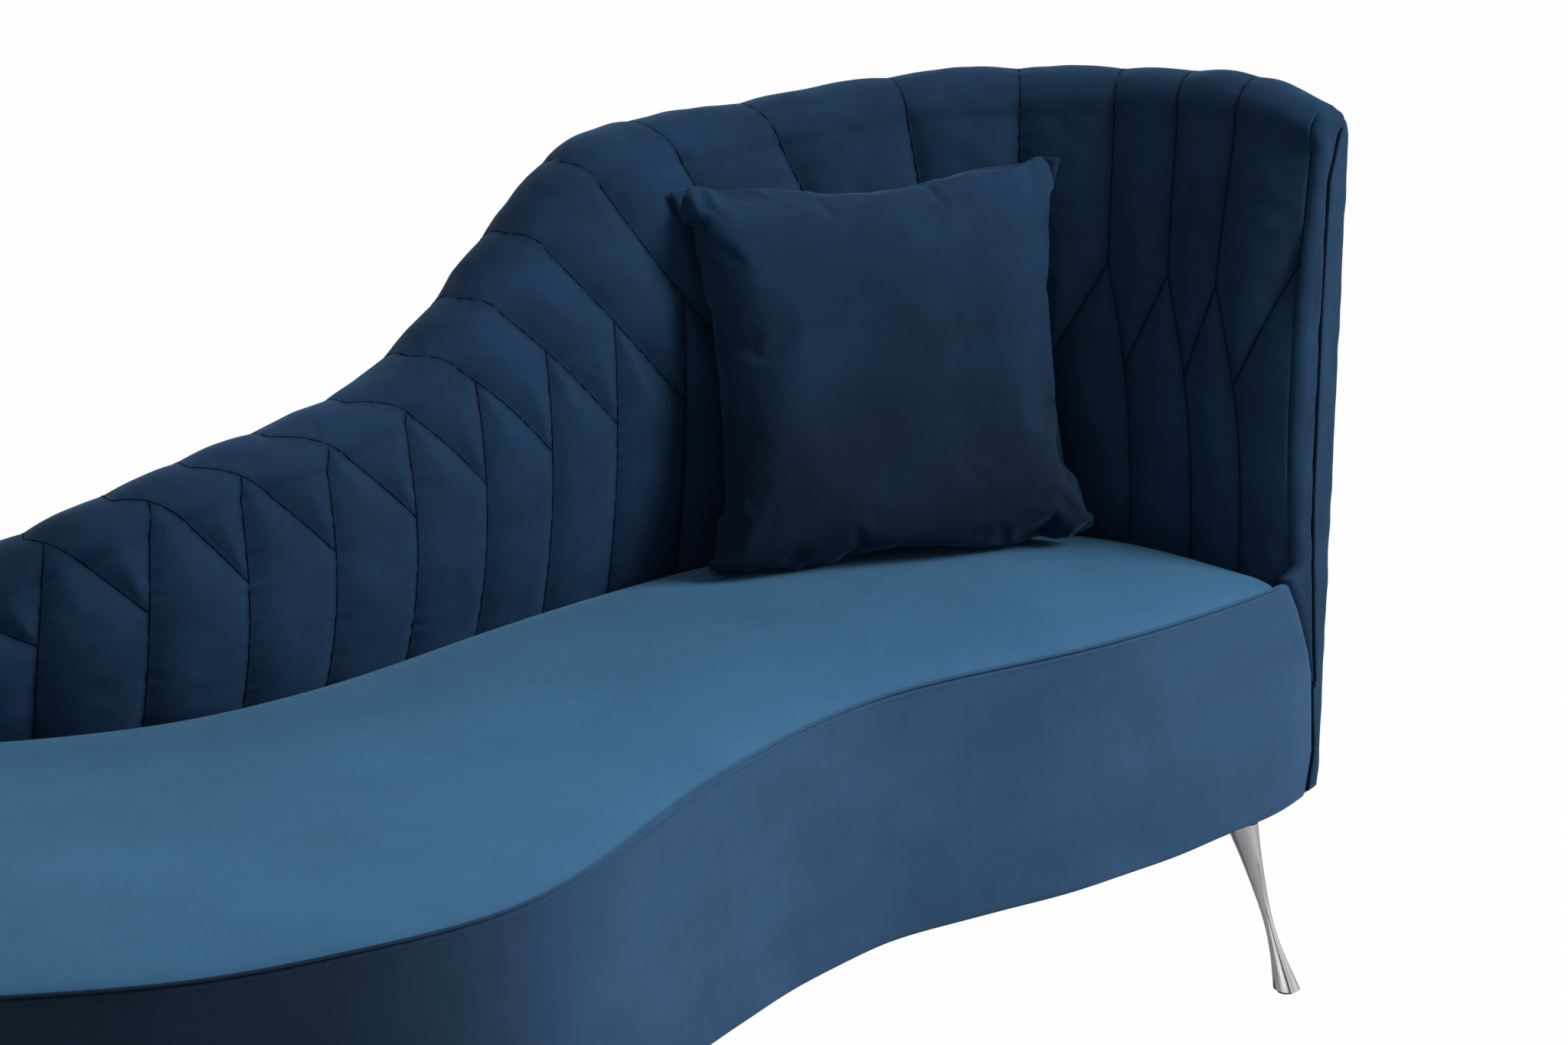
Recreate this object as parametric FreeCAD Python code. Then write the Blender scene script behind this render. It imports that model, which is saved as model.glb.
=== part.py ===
import FreeCAD, Part
import math
import os
from FreeCAD import Vector

os.makedirs("parts", exist_ok=True)

# Driving dimensions, millimetres
overall_length = 1791.0
overall_depth = 816.0
leg_height = 175.0          # floor to the underside of the base
base_height = 255.0         # underside of the base to the front seam
junction_rise = 15.0        # front seam to the foot of the backrest
seat_crown = 27.0           # rise of the seat above the line from seam to junction
back_rise = 496.0           # junction to the highest point of the rim
back_lean = 15.0            # how far the inner face leans out over its height
back_bulge = 22.0           # how far the padding swells into the seat
full_rise_share = 0.6       # below this share of the highest rim it leans and swells less
roll_share = 0.8            # the roll of the rim is at most this share of the rise
pad_tuck = 5.0              # the padding stays straight this far below the seat line
fit_gap = 0.4               # clearance between curved layers
cover = 2.0                 # fabric with its backing
fascia_padding = 8.0
front_rail_width = 26.0
rear_rail_width = 48.0
rail_height = 167.0
dust_cover_thickness = 1.0
plate_thickness = 3.0
webbing_thickness = 2.0
webbing_width = 50.0
webbing_pitch = 100.0
deck_thickness = 1.2
wadding = 4.0
outer_board = 3.0
post_depth = 22.0
post_shares = [0.04, 0.16, 0.29, 0.42, 0.54, 0.66, 0.77, 0.87, 0.93]
lining = 2.6
back_foam = 14.0
top_rail_height = 50.0
rim_padding = 30.0          # top rail to the top of the rim
rim_hook = 12.0             # how far the inside cover turns down outside
arm_cap = 8.0               # padded thickness on the front edge of the arm
tail_cap = 8.0              # padded thickness on the low end of the backrest
facet = 31.0                # the backrest's layers share facets of about this length
arm_strip = 42.0            # width of the outer strip on that edge
groove_depth = 8.0          # channel seams
cross_depth = 7.0           # slanting seams below the forks
groove_half_width = 11.0
groove_proud = 4.0          # how far the groove cutters stand out of the padding
seam_tuck = 20.0            # seams start this far below the seat line
fork_under_rim = 0.75       # forks stay below the rim by this share of its roll
cross_under_roll = 20.0     # slanting seams end this far below the roll
seam_end_share = 0.03       # seams end below the rim by this share of its roll
welt_size = 4.0
beam_width = 40.0
beam_height = 120.0
beam_places = [-0.27, -0.04, 0.19]  # shares of the length from the middle
block_height = 72.0
block_front = 120.0         # how far a block reaches out from its leg
block_margin = 15.0
block_side_margin = 18.0
plate_front = 15.0
leg_top_radius = 17.0
leg_waist_radius = 5.0
leg_foot_radius = 14.0
leg_waist_height = 72.0
leg_outline = [(0.17, 8.68), (0.62, 7.5), (0.86, 12.92)]  # share of its length, radius
leg_splay = 66.0            # sideways reach of a leg from top to floor
glide_radius = 9.0
glide_thickness = 4.0
stud_radius = 4.0
stud_in_leg = 14.0
stud_in_frame = 45.0
screw_radius = 2.2
screw_length = 28.0
hole_gap = 0.3
seat_inset = 4.0            # seat edge behind the face of the fascia
seat_side_gap = 3.0
full_crown_width = 380.0    # a narrower stretch of seat is crowned less
pillow_width = 432.0
pillow_height = 388.0
pillow_thickness = 112.0
pillow_draw = 0.10          # how far its edges draw in, as a share of the half diagonal
pillow_cover_thickness = 1.6
pillow_lean = 14.0          # degrees back from upright
pillow_turn = -8.0          # degrees about the vertical
pillow_tilt = 2.0           # degrees sideways, in its own plane
pillow_x = 483.0            # middle of its lower edge, in the drawn plan
pillow_y = 208.5
pillow_lift = 23.4          # middle of its lower edge above the junction height
pillow_cuts = [0.03, 0.12, 0.25, 0.4, 0.55, 0.7, 0.85, 1.0]  # sections, as shares of a half

# The plan as drawn, seen from above, with the arm to the right
drawn_length = 1791.0
drawn_depth = 816.0
drawn_back_rise = 496.0
inner_line_points = [
    (-760, 145), (-700, 195), (-600, 213), (-480, 178), (-340, 153), (-200, 168), (-50, 220),
    (120, 284), (310, 336), (480, 350), (630, 318), (740, 245), (800, 144), (845, 50)]
foot_and_front_points = [
    (-856, 95), (-873, -35), (-840, -160), (-745, -262), (-609, -325), (-467, -366),
    (-334, -370), (-214, -355), (-84, -286), (35, -195), (173, -110), (323, -50),
    (534, -28), (747, 17)]

# Along the backrest, from its tail at the foot end to the arm
drawn_wall_length = 1814.0
wall_thickness_drawn = [(0, 66), (400, 90), (950, 95), (1430, 96), (1814, 100)]
rim_rise_drawn = [
    (0, 60), (191, 120), (391, 192), (563, 234), (748, 264), (820, 297), (944, 396),
    (1016, 449), (1135, 465), (1392, 484), (1621, 494), (1740, 494), (1814, 474)]
fork_rise_drawn = [(250, 118), (370, 168), (565, 216), (765, 239), (1020, 284), (1814, 284)]
cross_rise_drawn = [(250, 65), (460, 110), (740, 140), (1010, 179), (1110, 187), (1814, 187)]

# Sections of the seat: shares of the front line and of the backrest that they join
seat_stations = [
    (0.004, 0.000), (0.050, 0.014), (0.105, 0.033), (0.161, 0.058), (0.221, 0.089),
    (0.286, 0.128), (0.350, 0.178), (0.407, 0.246), (0.460, 0.320), (0.522, 0.397),
    (0.588, 0.469), (0.657, 0.546), (0.727, 0.624), (0.818, 0.746), (0.866, 0.806),
    (0.913, 0.879), (0.936, 0.934), (0.949, 0.975)]

# Channel seams: place at the seat, at the fork and on the rim, to either side of the middle
left_seams = [
    (58, 64, 60), (154, 166, 160), (250, 268, 256), (346, 372, 354), (446, 473, 438),
    (547, 565, 521), (640, 666, 614), (742, 765, 712), (836, 851, 796), (928, 935, 864),
    (1016, 1022, 928), (1105, 1112, 1002), (1205, 1206, 1100), (1305, 1306, 1227),
    (1402, 1408, 1380)]
middle_seam = 1453
right_seams = [(1535, 1500, 1500), (1620, 1596, 1590), (1691, 1665, 1654), (1748, 1722, 1724)]
arm_seam_rise = 330.0       # where the last slanting seam leaves the arm's front edge

# Legs: line, share of that line's length from the tail, distance in from the edge
leg_sites = {
    "leg_front_head": ("front", 0.9415, 19.0),
    "leg_front_foot": ("front", 0.2036, 48.0),
    "leg_rear_foot": ("back", 0.085, 74.0),
    "leg_rear_head": ("back", 0.800, 74.0)}

seam_height = leg_height + base_height
junction = seam_height + junction_rise
rail_bottom = leg_height + plate_thickness
rail_top = rail_bottom + rail_height
deck_bottom = rail_top + webbing_thickness
seat_bottom = deck_bottom + deck_thickness
far = 2 * overall_length
edge_spacing = 45.0         # between the points that shape a curved edge
layer_setback = 2.0         # hidden layers stop this much short of the cover's edge
run_out = 450.0             # how far cutting outlines go on past the ends of a line
base_end = 24.0             # rails and padding start this far from the tail's outer corner


def save(name, shape):
    shape.exportStep("parts/" + name + ".step")
    print(name, round(shape.Volume), len(shape.Solids), shape.isValid())


class Smooth:
    """A natural cubic through the given values."""

    def __init__(self, knots, values):
        self.knots = knots
        self.values = values
        count = len(knots)
        self.bends = [0.0] * count
        carry = [0.0] * count
        for i in range(1, count - 1):
            before = knots[i] - knots[i - 1]
            after = knots[i + 1] - knots[i]
            rise = (values[i + 1] - values[i]) / after - (values[i] - values[i - 1]) / before
            pivot = 2 * (before + after) - before * carry[i - 1]
            carry[i] = after / pivot
            self.bends[i] = (6 * rise - before * self.bends[i - 1]) / pivot
        for i in range(count - 2, 0, -1):
            self.bends[i] -= carry[i] * self.bends[i + 1]

    def __call__(self, place):
        i = 0
        while i < len(self.knots) - 2 and place > self.knots[i + 1]:
            i += 1
        span = self.knots[i + 1] - self.knots[i]
        b = (place - self.knots[i]) / span
        a = 1 - b
        bend = (a ** 3 - a) * self.bends[i] + (b ** 3 - b) * self.bends[i + 1]
        return a * self.values[i] + b * self.values[i + 1] + bend * span ** 2 / 6


class PlanLine:
    """A smooth line in plan, measured by the distance travelled along it."""

    def __init__(self, points):
        knots = [0.0]
        for (x0, y0), (x1, y1) in zip(points, points[1:]):
            knots.append(knots[-1] + math.hypot(x1 - x0, y1 - y0))
        self.x = Smooth(knots, [p[0] for p in points])
        self.y = Smooth(knots, [p[1] for p in points])
        steps = 1200
        self.step = knots[-1] / steps
        self.travelled = [0.0]
        for i in range(steps):
            a = i * self.step
            b = a + self.step
            run = math.hypot(self.x(b) - self.x(a), self.y(b) - self.y(a))
            self.travelled.append(self.travelled[-1] + run)
        self.length = self.travelled[-1]

    def parameter(self, distance):
        low = 0
        high = len(self.travelled) - 1
        while high - low > 1:
            half = (low + high) // 2
            if self.travelled[half] > distance:
                high = half
            else:
                low = half
        span = self.travelled[high] - self.travelled[low]
        return (low + (distance - self.travelled[low]) / span) * self.step

    def point(self, distance):
        t = self.parameter(distance)
        return Vector(self.x(t), self.y(t), 0)

    def along(self, distance):
        t = self.parameter(distance)
        run = Vector(self.x(t + 0.5) - self.x(t - 0.5), self.y(t + 0.5) - self.y(t - 0.5), 0)
        return run.normalize()

    def left(self, distance):
        run = self.along(distance)
        return Vector(-run.y, run.x, 0)


# The inner line, where the backrest meets the seat, and the outline of foot end and front
def stretched(points):
    wide = overall_length / drawn_length
    deep = overall_depth / drawn_depth
    return [(x * wide, y * deep) for x, y in points]


back = PlanLine(stretched(inner_line_points))
wall_stretch = back.length / drawn_wall_length
rise_stretch = back_rise / drawn_back_rise


def along_wall(table, factor):
    return Smooth([place * wall_stretch for place, value in table],
                  [value * factor for place, value in table])


thickness = along_wall(wall_thickness_drawn, 1.0)
rim_rise = along_wall(rim_rise_drawn, rise_stretch)
fork_rise = along_wall(fork_rise_drawn, rise_stretch)
cross_rise = along_wall(cross_rise_drawn, rise_stretch)


def wall_point(u, w, z):
    """A point at distance u along the backrest, w outward of the inner line, at height z."""
    flat = back.point(u) + back.left(u) * w
    return Vector(flat.x, flat.y, z)


tail = wall_point(0, thickness(0), 0)
tuck = wall_point(back.length, 0, 0)
corner = wall_point(back.length, thickness(back.length), 0)
front_points = [(tail.x, tail.y)] + stretched(foot_and_front_points)
front = PlanLine(front_points + [(tuck.x, tuck.y), (corner.x, corner.y)])


def box_middle():
    outline = [front.point(front.length * i / 400) for i in range(401)]
    outline += [wall_point(back.length * i / 400, thickness(back.length * i / 400), 0)
                for i in range(401)]
    xs = [p.x for p in outline]
    ys = [p.y for p in outline]
    return Vector((min(xs) + max(xs)) / 2, (min(ys) + max(ys)) / 2, 0)


middle = box_middle()

# Places along the backrest where the facets of all its layers meet
layer_start = tail_cap + fit_gap
layer_end = back.length - arm_cap - fit_gap
facet_count = round((layer_end - layer_start) / facet)
places = [layer_start + (layer_end - layer_start) * i / facet_count
          for i in range(facet_count + 1)]


def save_part(name, shape):
    shape.translate(-middle)
    save(name, shape)


# Flat shapes between lines of the plan
def curve(points):
    spline = Part.BSplineCurve()
    spline.interpolate(points)
    return spline.toShape()


def offset_points(line, start, end, offset, count):
    points = []
    for i in range(count + 1):
        s = start + (end - start) * i / count
        shift = offset(s) if callable(offset) else offset
        points.append(line.point(s) + line.left(s) * shift)
    return points


def prism(edges, bottom, top):
    face = Part.Face(Part.Wire(edges))
    face.translate(Vector(0, 0, bottom))
    return face.extrude(Vector(0, 0, top - bottom))


def band(line, start, end, near, wide, bottom, top):
    count = max(6, int((end - start) / edge_spacing))
    one = offset_points(line, start, end, near, count)
    two = offset_points(line, start, end, wide, count)
    edges = [curve(one), Part.makeLine(one[-1], two[-1]), curve(two[::-1]),
             Part.makeLine(two[0], one[0])]
    return prism(edges, bottom, top)


def inside_front(inset, bottom, top):
    """All that lies more than inset behind the foot end and front."""
    points = offset_points(front, 0, front.length, inset, 40)
    points.append(points[-1] + front.along(front.length) * run_out)
    points.insert(0, points[0] - front.along(0) * run_out / 3)
    rear = [Vector(far, far, 0), Vector(-far, far, 0)]
    run = [points[-1]] + rear + [points[0]]
    edges = [Part.makeLine(points[0], points[1]), curve(points[1:-1]),
             Part.makeLine(points[-2], points[-1])]
    edges += [Part.makeLine(a, b) for a, b in zip(run, run[1:])]
    return prism(edges, bottom, top)


def inside_back(outward, bottom, top):
    """All that lies on the seat's side of a line outward of the inner line."""
    points = [wall_point(u, outward(u) if callable(outward) else outward, 0) for u in places]
    points.insert(0, points[0] - back.along(0) * run_out)
    points.append(points[-1] + back.along(back.length) * run_out)
    run = points + [Vector(far, -far, 0), Vector(-far, -far, 0), points[0]]
    return prism([Part.makeLine(a, b) for a, b in zip(run, run[1:])], bottom, top)


def inside(inset, outward, bottom, top):
    return inside_front(inset, bottom, top).common(inside_back(outward, bottom, top))


# Sections through the backrest
def rim_height(u):
    return junction + rim_rise(u)


def lean(u):
    return back_lean * min(1.0, rim_rise(u) / (full_rise_share * back_rise))


def bulge(u):
    return back_bulge * min(1.0, rim_rise(u) / (full_rise_share * back_rise))


def roll(u):
    return min((thickness(u) - lean(u)) / 2, roll_share * rim_rise(u))


def hook_bottom(u):
    return rim_height(u) - roll(u) - rim_hook


def section(u, start, steps):
    """A closed wire at u; a step is one point, or two for an arc through the first."""
    edges = []
    here = wall_point(u, *start)
    first = here
    for step in steps:
        there = wall_point(u, *step[-1])
        if len(step) == 2:
            edges.append(Part.Arc(here, wall_point(u, *step[0]), there).toShape())
        else:
            edges.append(Part.makeLine(here, there))
        here = there
    edges.append(Part.makeLine(here, first))
    return Part.Wire(edges)


def wall_loft(profile, places):
    return Part.makeLoft([section(u, *profile(u)) for u in places], True, True)


def slab_profile(near, wide, bottom, top):
    """An upright layer between two distances outward of the inner line."""
    def profile(u):
        w0, w1 = near(u), wide(u)
        z0, z1 = bottom(u), top(u)
        return (w0, z0), [[(w1, z0)], [(w1, z1)], [(w0, z1)]]
    return profile


def swell(u):
    """The inner face between seat and rim: lower end, middle and upper end of its arc."""
    top = rim_height(u) - roll(u)
    low = junction - pad_tuck
    return (0, low), (lean(u) / 3 - bulge(u), (low + top) / 2), (lean(u), top)


def pad_profile(u):
    low, mid, high = swell(u)
    t = thickness(u)
    r = roll(u)
    centre = (t + lean(u)) / 2
    half = (t - lean(u)) / 2
    rim = rim_height(u)
    turn = math.sqrt(0.5)
    back_face = frame_near(u) - lining - back_foam - 3 * fit_gap
    under = frame_top(u) + fit_gap
    outer = frame_far(u) + fit_gap
    return (0, seat_bottom), [
        [low], [mid, high],
        [(centre - half * turn, rim - r + r * turn), (centre, rim)],
        [(centre + half * turn, rim - r + r * turn), (t, rim - r)],
        [(t, hook_bottom(u))], [(outer, hook_bottom(u))], [(outer, under)],
        [(back_face, under)], [(back_face, seat_bottom)]]


def circle_through(a, b, c):
    """Middle and radius of the circle through three points of a section."""
    ax, ay = a
    bx, by = b
    cx, cy = c
    d = 2 * (ax * (by - cy) + bx * (cy - ay) + cx * (ay - by))
    sa, sb, sc = ax * ax + ay * ay, bx * bx + by * by, cx * cx + cy * cy
    x = (sa * (by - cy) + sb * (cy - ay) + sc * (ay - by)) / d
    y = (sa * (cx - bx) + sb * (ax - cx) + sc * (bx - ax)) / d
    return x, y, math.hypot(ax - x, ay - y)


def face_of_pad(u, z):
    """Distance outward of the inner face at height z, with its slope."""
    low, mid, high = swell(u)
    if z <= low[1]:
        return 0.0
    if z <= high[1]:
        x, y, r = circle_through(low, mid, high)
        return x - math.copysign(math.sqrt(max(r * r - (z - y) ** 2, 0)), x)
    half = (thickness(u) - lean(u)) / 2
    up = min((z - high[1]) / roll(u), 1.0)
    return lean(u) + half - half * math.sqrt(1 - up * up)


def on_pad(u, z):
    return wall_point(u, face_of_pad(u, z), z)


outside_depth = cover + wadding + outer_board + 3 * fit_gap
frame_near = lambda u: thickness(u) - outside_depth - post_depth
frame_far = lambda u: thickness(u) - outside_depth
frame_top = lambda u: rim_height(u) - rim_padding
rail_under = lambda u: frame_top(u) - top_rail_height


# The base: rails, beams, blocks
rail_inset = cover + fascia_padding + fit_gap
rail_back = rail_inset + front_rail_width
rear_rail_near = lambda u: frame_far(u) - rear_rail_width
front_end = front.length - outside_depth - 5 * fit_gap
fascia_end = front.length - arm_strip - fit_gap
cap_start = back.length - arm_cap

front_rail = band(front, base_end, front_end, rail_inset, rail_back, rail_bottom, rail_top)
rear_rail = wall_loft(slab_profile(rear_rail_near, frame_far, lambda u: rail_bottom,
                                   lambda u: rail_top), places[1:-1])
core = inside(rail_back + fit_gap, lambda u: rear_rail_near(u) - fit_gap, rail_bottom, rail_top)


def upright_box(x0, y0, x1, y1, z0, z1):
    return Part.makeBox(x1 - x0, y1 - y0, z1 - z0, Vector(x0, y0, z0))


beams = []
for share in beam_places:
    x = share * overall_length
    beam = upright_box(x - beam_width / 2, -far, x + beam_width / 2, far,
                       rail_bottom, rail_bottom + beam_height)
    beams.append(beam.common(core))


# Legs with their plates, blocks, studs, screws and glides
class LegSite:
    def __init__(self, which, share, inset):
        if which == "front":
            s = share * front.length
            self.inward = front.left(s)
            self.top = front.point(s) + self.inward * inset
        else:
            u = share * back.length
            self.inward = back.left(u) * -1
            self.top = wall_point(u, thickness(u) - inset, 0)
        self.side = Vector(-self.inward.y, self.inward.x, 0)

    def place(self, inward, side, z):
        flat = self.top + self.inward * inward + self.side * side
        return Vector(flat.x, flat.y, z)

    def block(self, near, wide, half, z0, z1):
        run = [self.place(near, -half, z0), self.place(wide, -half, z0),
               self.place(wide, half, z0), self.place(near, half, z0)]
        face = Part.Face(Part.makePolygon(run + run[:1]))
        return face.extrude(Vector(0, 0, z1 - z0))


plate_reach = 60.0
plate_half = 32.0
screw_spots = [(30, -22), (30, 22), (50, 0)]
screw_head_radius = 2 * screw_radius
screw_head = 1.8
plate_zone = inside(cover + fit_gap, lambda u: thickness(u) - cover - fit_gap,
                    leg_height, rail_bottom)


def leg_shape(site):
    tilt = math.atan2(leg_splay, leg_height)
    reach = leg_height / math.cos(tilt)
    spare = 14.0
    flare = 1.5
    low_turn, high_turn, shoulder = [(r, reach * share) for share, r in leg_outline]
    profile = [
        (leg_foot_radius + flare, -spare), (leg_foot_radius, 0), low_turn,
        (leg_waist_radius, leg_waist_height), high_turn, shoulder,
        (leg_top_radius, reach), (leg_top_radius + flare, reach + spare)]
    side = curve([Vector(r, 0, h) for r, h in profile])
    low = Vector(0, 0, profile[0][1])
    high = Vector(0, 0, profile[-1][1])
    edges = [Part.makeLine(low, Vector(profile[0][0], 0, low.z)), side,
             Part.makeLine(Vector(profile[-1][0], 0, high.z), high), Part.makeLine(high, low)]
    leg = Part.Face(Part.Wire(edges)).revolve(Vector(), Vector(0, 0, 1), 360)
    foot = site.place(-leg_splay, 0, 0)
    turn = FreeCAD.Rotation(Vector(0, 0, 1), site.place(0, 0, leg_height) - foot)
    leg.Placement = FreeCAD.Placement(foot, turn)
    wide = 2 * (leg_splay + leg_foot_radius + spare)
    keep = Part.makeBox(2 * wide, 2 * wide, leg_height - glide_thickness,
                        Vector(foot.x - wide, foot.y - wide, glide_thickness))
    return leg.common(keep)


plates = []
studs = []
screws = []
blocks = []
holes = []
for name, (which, share, inset) in leg_sites.items():
    site = LegSite(which, share, inset)
    stud_low = leg_height - stud_in_leg
    stud_high = rail_bottom + stud_in_frame
    stud = Part.makeCylinder(stud_radius, stud_high - stud_low, site.place(0, 0, stud_low))
    hole = Part.makeCylinder(stud_radius + hole_gap, stud_high - stud_low + 2 * hole_gap,
                             site.place(0, 0, stud_low - hole_gap))
    save_part(name, leg_shape(site).cut(hole))
    glide_low = site.place(-leg_splay * (1 - glide_thickness / leg_height), 0, 0)
    save_part(name.replace("leg", "glide"),
              Part.makeCylinder(glide_radius, glide_thickness, glide_low))
    plate = site.block(-plate_front, plate_reach, plate_half, leg_height, rail_bottom)
    plate = plate.common(plate_zone)
    block = site.block(-block_front, plate_reach + block_margin,
                       plate_half + block_side_margin, rail_bottom,
                       rail_bottom + block_height).common(core)
    site_holes = [hole]
    for inward, side in screw_spots:
        low = site.place(inward, side, leg_height - screw_head)
        head = Part.makeCylinder(screw_head_radius, screw_head, low)
        shank = Part.makeCylinder(screw_radius, screw_length,
                                  site.place(inward, side, leg_height))
        bore = Part.makeCylinder(screw_radius + hole_gap, screw_length + hole_gap,
                                 site.place(inward, side, leg_height))
        screws.append(head.fuse(shank).removeSplitter())
        site_holes.append(bore)
    holes += site_holes
    plates.append(plate.cut(site_holes))
    blocks.append(block.cut(site_holes))
    studs.append(stud)

save_part("leg_mounting_plates", Part.makeCompound(plates))
save_part("leg_studs", Part.makeCompound(studs))
save_part("plate_screws", Part.makeCompound(screws))
save_part("leg_blocks", Part.makeCompound(blocks))
save_part("front_rail", front_rail.cut(holes))
save_part("rear_rail", rear_rail.cut(holes))
block_room = [shape.copy() for shape in blocks]
cross_beams = Part.makeCompound([beam.cut(block_room) for beam in beams])
save_part("cross_beams", cross_beams)

dust_relief = 40.0
dust_zone = inside(rail_inset, lambda u: thickness(u) - cover - fit_gap,
                   rail_bottom - dust_cover_thickness, rail_bottom)
save_part("dust_cover", dust_zone.cut([
    LegSite(*leg_sites[name]).block(-dust_relief, plate_reach + 1, plate_half + 1,
                                    leg_height, rail_bottom)
    for name in leg_sites]))

# The seat: webbing, deck, foam, cover
frame_room = lambda u: frame_near(u) - lining - 2 * fit_gap
web_inset = 3.0
web_zone = inside(rail_inset + web_inset, lambda u: frame_near(u) - lining - web_inset,
                  rail_top, deck_bottom)
webs = []
reach = int(overall_length / webbing_pitch / 2)
for i in range(-reach, reach + 1):
    x = i * webbing_pitch
    strip = upright_box(x - webbing_width / 2, -far, x + webbing_width / 2, far,
                        rail_top, deck_bottom).common(web_zone)
    webs += [s for s in strip.Solids if s.BoundBox.YLength > 3 * webbing_width]
save_part("seat_webbing", Part.makeCompound(webs))
save_part("seat_deck", inside(rail_inset + layer_setback, lambda u: frame_room(u) - fit_gap,
                              deck_bottom, seat_bottom))


def seat_wire(front_share, back_share, lowered, depth):
    """An upright section from the front seam to the backrest; depth None reaches the deck."""
    s = front_share * front.length
    u = back_share * back.length
    a = front.point(s) + front.left(s) * seat_inset
    b = back.point(u) - back.left(u) * seat_side_gap
    fullness = min(1.0, (b - a).Length / full_crown_width)
    rise_at_back = junction_rise * fullness
    a.z = seam_height - lowered
    b.z = a.z + rise_at_back
    crest = (a + b) * 0.5 + Vector(0, 0, seat_crown * fullness)
    if depth is None:
        c = Vector(b.x, b.y, seat_bottom)
        d = Vector(a.x, a.y, seat_bottom)
        under = Part.makeLine(c, d)
    else:
        drop = Vector(0, 0, -depth)
        c = b + drop
        d = a + drop
        under = Part.Arc(c, crest + drop, d).toShape()
    return Part.Wire([Part.Arc(a, crest, b).toShape(), Part.makeLine(b, c), under,
                      Part.makeLine(d, a)])


def seat_body(lowered, depth):
    between = [((a + c) / 2, (b + d) / 2)
               for (a, b), (c, d) in zip(seat_stations, seat_stations[1:])]
    stations = sorted(seat_stations + between)
    wires = [seat_wire(one, two, lowered, depth) for one, two in stations]
    return Part.makeLoft(wires, True, False)


save_part("seat_foam", seat_body(cover + fit_gap, None))
save_part("seat_cover", seat_body(0, cover))

# The front: padding, fascia cover and the raised seam
save_part("fascia_padding", band(front, base_end, fascia_end - layer_setback, cover + fit_gap,
                                 rail_inset - fit_gap, rail_bottom, rail_top))
save_part("fascia_cover", band(front, layer_setback, fascia_end, 0, cover, leg_height,
                               seam_height - fit_gap))
save_part("front_welt", band(front, 4, front.length - thickness(back.length) - 4, -0.4,
                             welt_size - 0.8, seam_height, seam_height + welt_size))

# The backrest frame
post_profile = slab_profile(frame_near, frame_far, lambda u: rail_top,
                            lambda u: rail_under(u) - fit_gap)
posts = []
for share in post_shares:
    first = round(share * facet_count)
    posts.append(wall_loft(post_profile, places[first:first + 2]))
save_part("back_posts", Part.makeCompound(posts))
save_part("arm_post", wall_loft(post_profile, places[-2:]))
save_part("back_top_rail", wall_loft(
    slab_profile(frame_near, frame_far, rail_under, frame_top), places))

lining_far = lambda u: frame_near(u) - fit_gap
lining_near = lambda u: lining_far(u) - lining
save_part("back_lining", wall_loft(
    slab_profile(lining_near, lining_far, lambda u: rail_top + fit_gap, frame_top), places))
foam_far = lambda u: lining_near(u) - fit_gap
foam_near = lambda u: foam_far(u) - back_foam
save_part("back_foam", wall_loft(
    slab_profile(foam_near, foam_far, lambda u: seat_bottom + fit_gap, frame_top), places))

board_far = lambda u: thickness(u) - cover - wadding - 2 * fit_gap
board_near = lambda u: board_far(u) - outer_board
under_hook = lambda u: hook_bottom(u) - fit_gap
save_part("outer_back_board", wall_loft(
    slab_profile(board_near, board_far, lambda u: rail_bottom, under_hook), places))
wadding_far = lambda u: thickness(u) - cover - fit_gap
wadding_near = lambda u: wadding_far(u) - wadding
save_part("outer_wadding", wall_loft(
    slab_profile(wadding_near, wadding_far, lambda u: rail_bottom, under_hook), places))
cover_profile = slab_profile(lambda u: thickness(u) - cover, thickness, lambda u: leg_height,
                             under_hook)
save_part("outside_back_cover", wall_loft(cover_profile, [fit_gap] + places))


# The channelled inside of the backrest
def groove(path, depth):
    """A V-shaped cutter along a seam that is given as places and heights on the inner face."""
    wires = []
    for i, (u, z) in enumerate(path):
        here = on_pad(u, z)
        before = on_pad(*path[max(i - 1, 0)])
        after = on_pad(*path[min(i + 1, len(path) - 1)])
        run = (after - before).normalize()
        level = wall_point(u + 1, face_of_pad(u, z), z) - wall_point(u - 1, face_of_pad(u, z), z)
        steep = wall_point(u, face_of_pad(u, z + 1), z + 1)
        steep = steep - wall_point(u, face_of_pad(u, z - 1), z - 1)
        outward = level.cross(steep).normalize()
        side = outward.cross(run).normalize()
        half = groove_half_width * (depth + groove_proud) / groove_depth
        tip = here - outward * depth
        one = here + outward * groove_proud + side * half
        two = here + outward * groove_proud - side * half
        wires.append(Part.makePolygon([tip, one, two, tip]))
    return Part.makeLoft(wires, True, True)


def seam_path(u0, z0, u1, z1, pieces):
    return [(u0 + (u1 - u0) * i / pieces, z0 + (z1 - z0) * i / pieces)
            for i in range(pieces + 1)]


def fork_height(u):
    return junction + min(fork_rise(u), rim_rise(u) - fork_under_rim * roll(u))


def cross_height(u):
    return junction + min(cross_rise(u), rim_rise(u) - roll(u) - cross_under_roll)


def rim_end(u):
    return rim_height(u) - seam_end_share * roll(u)


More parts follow.
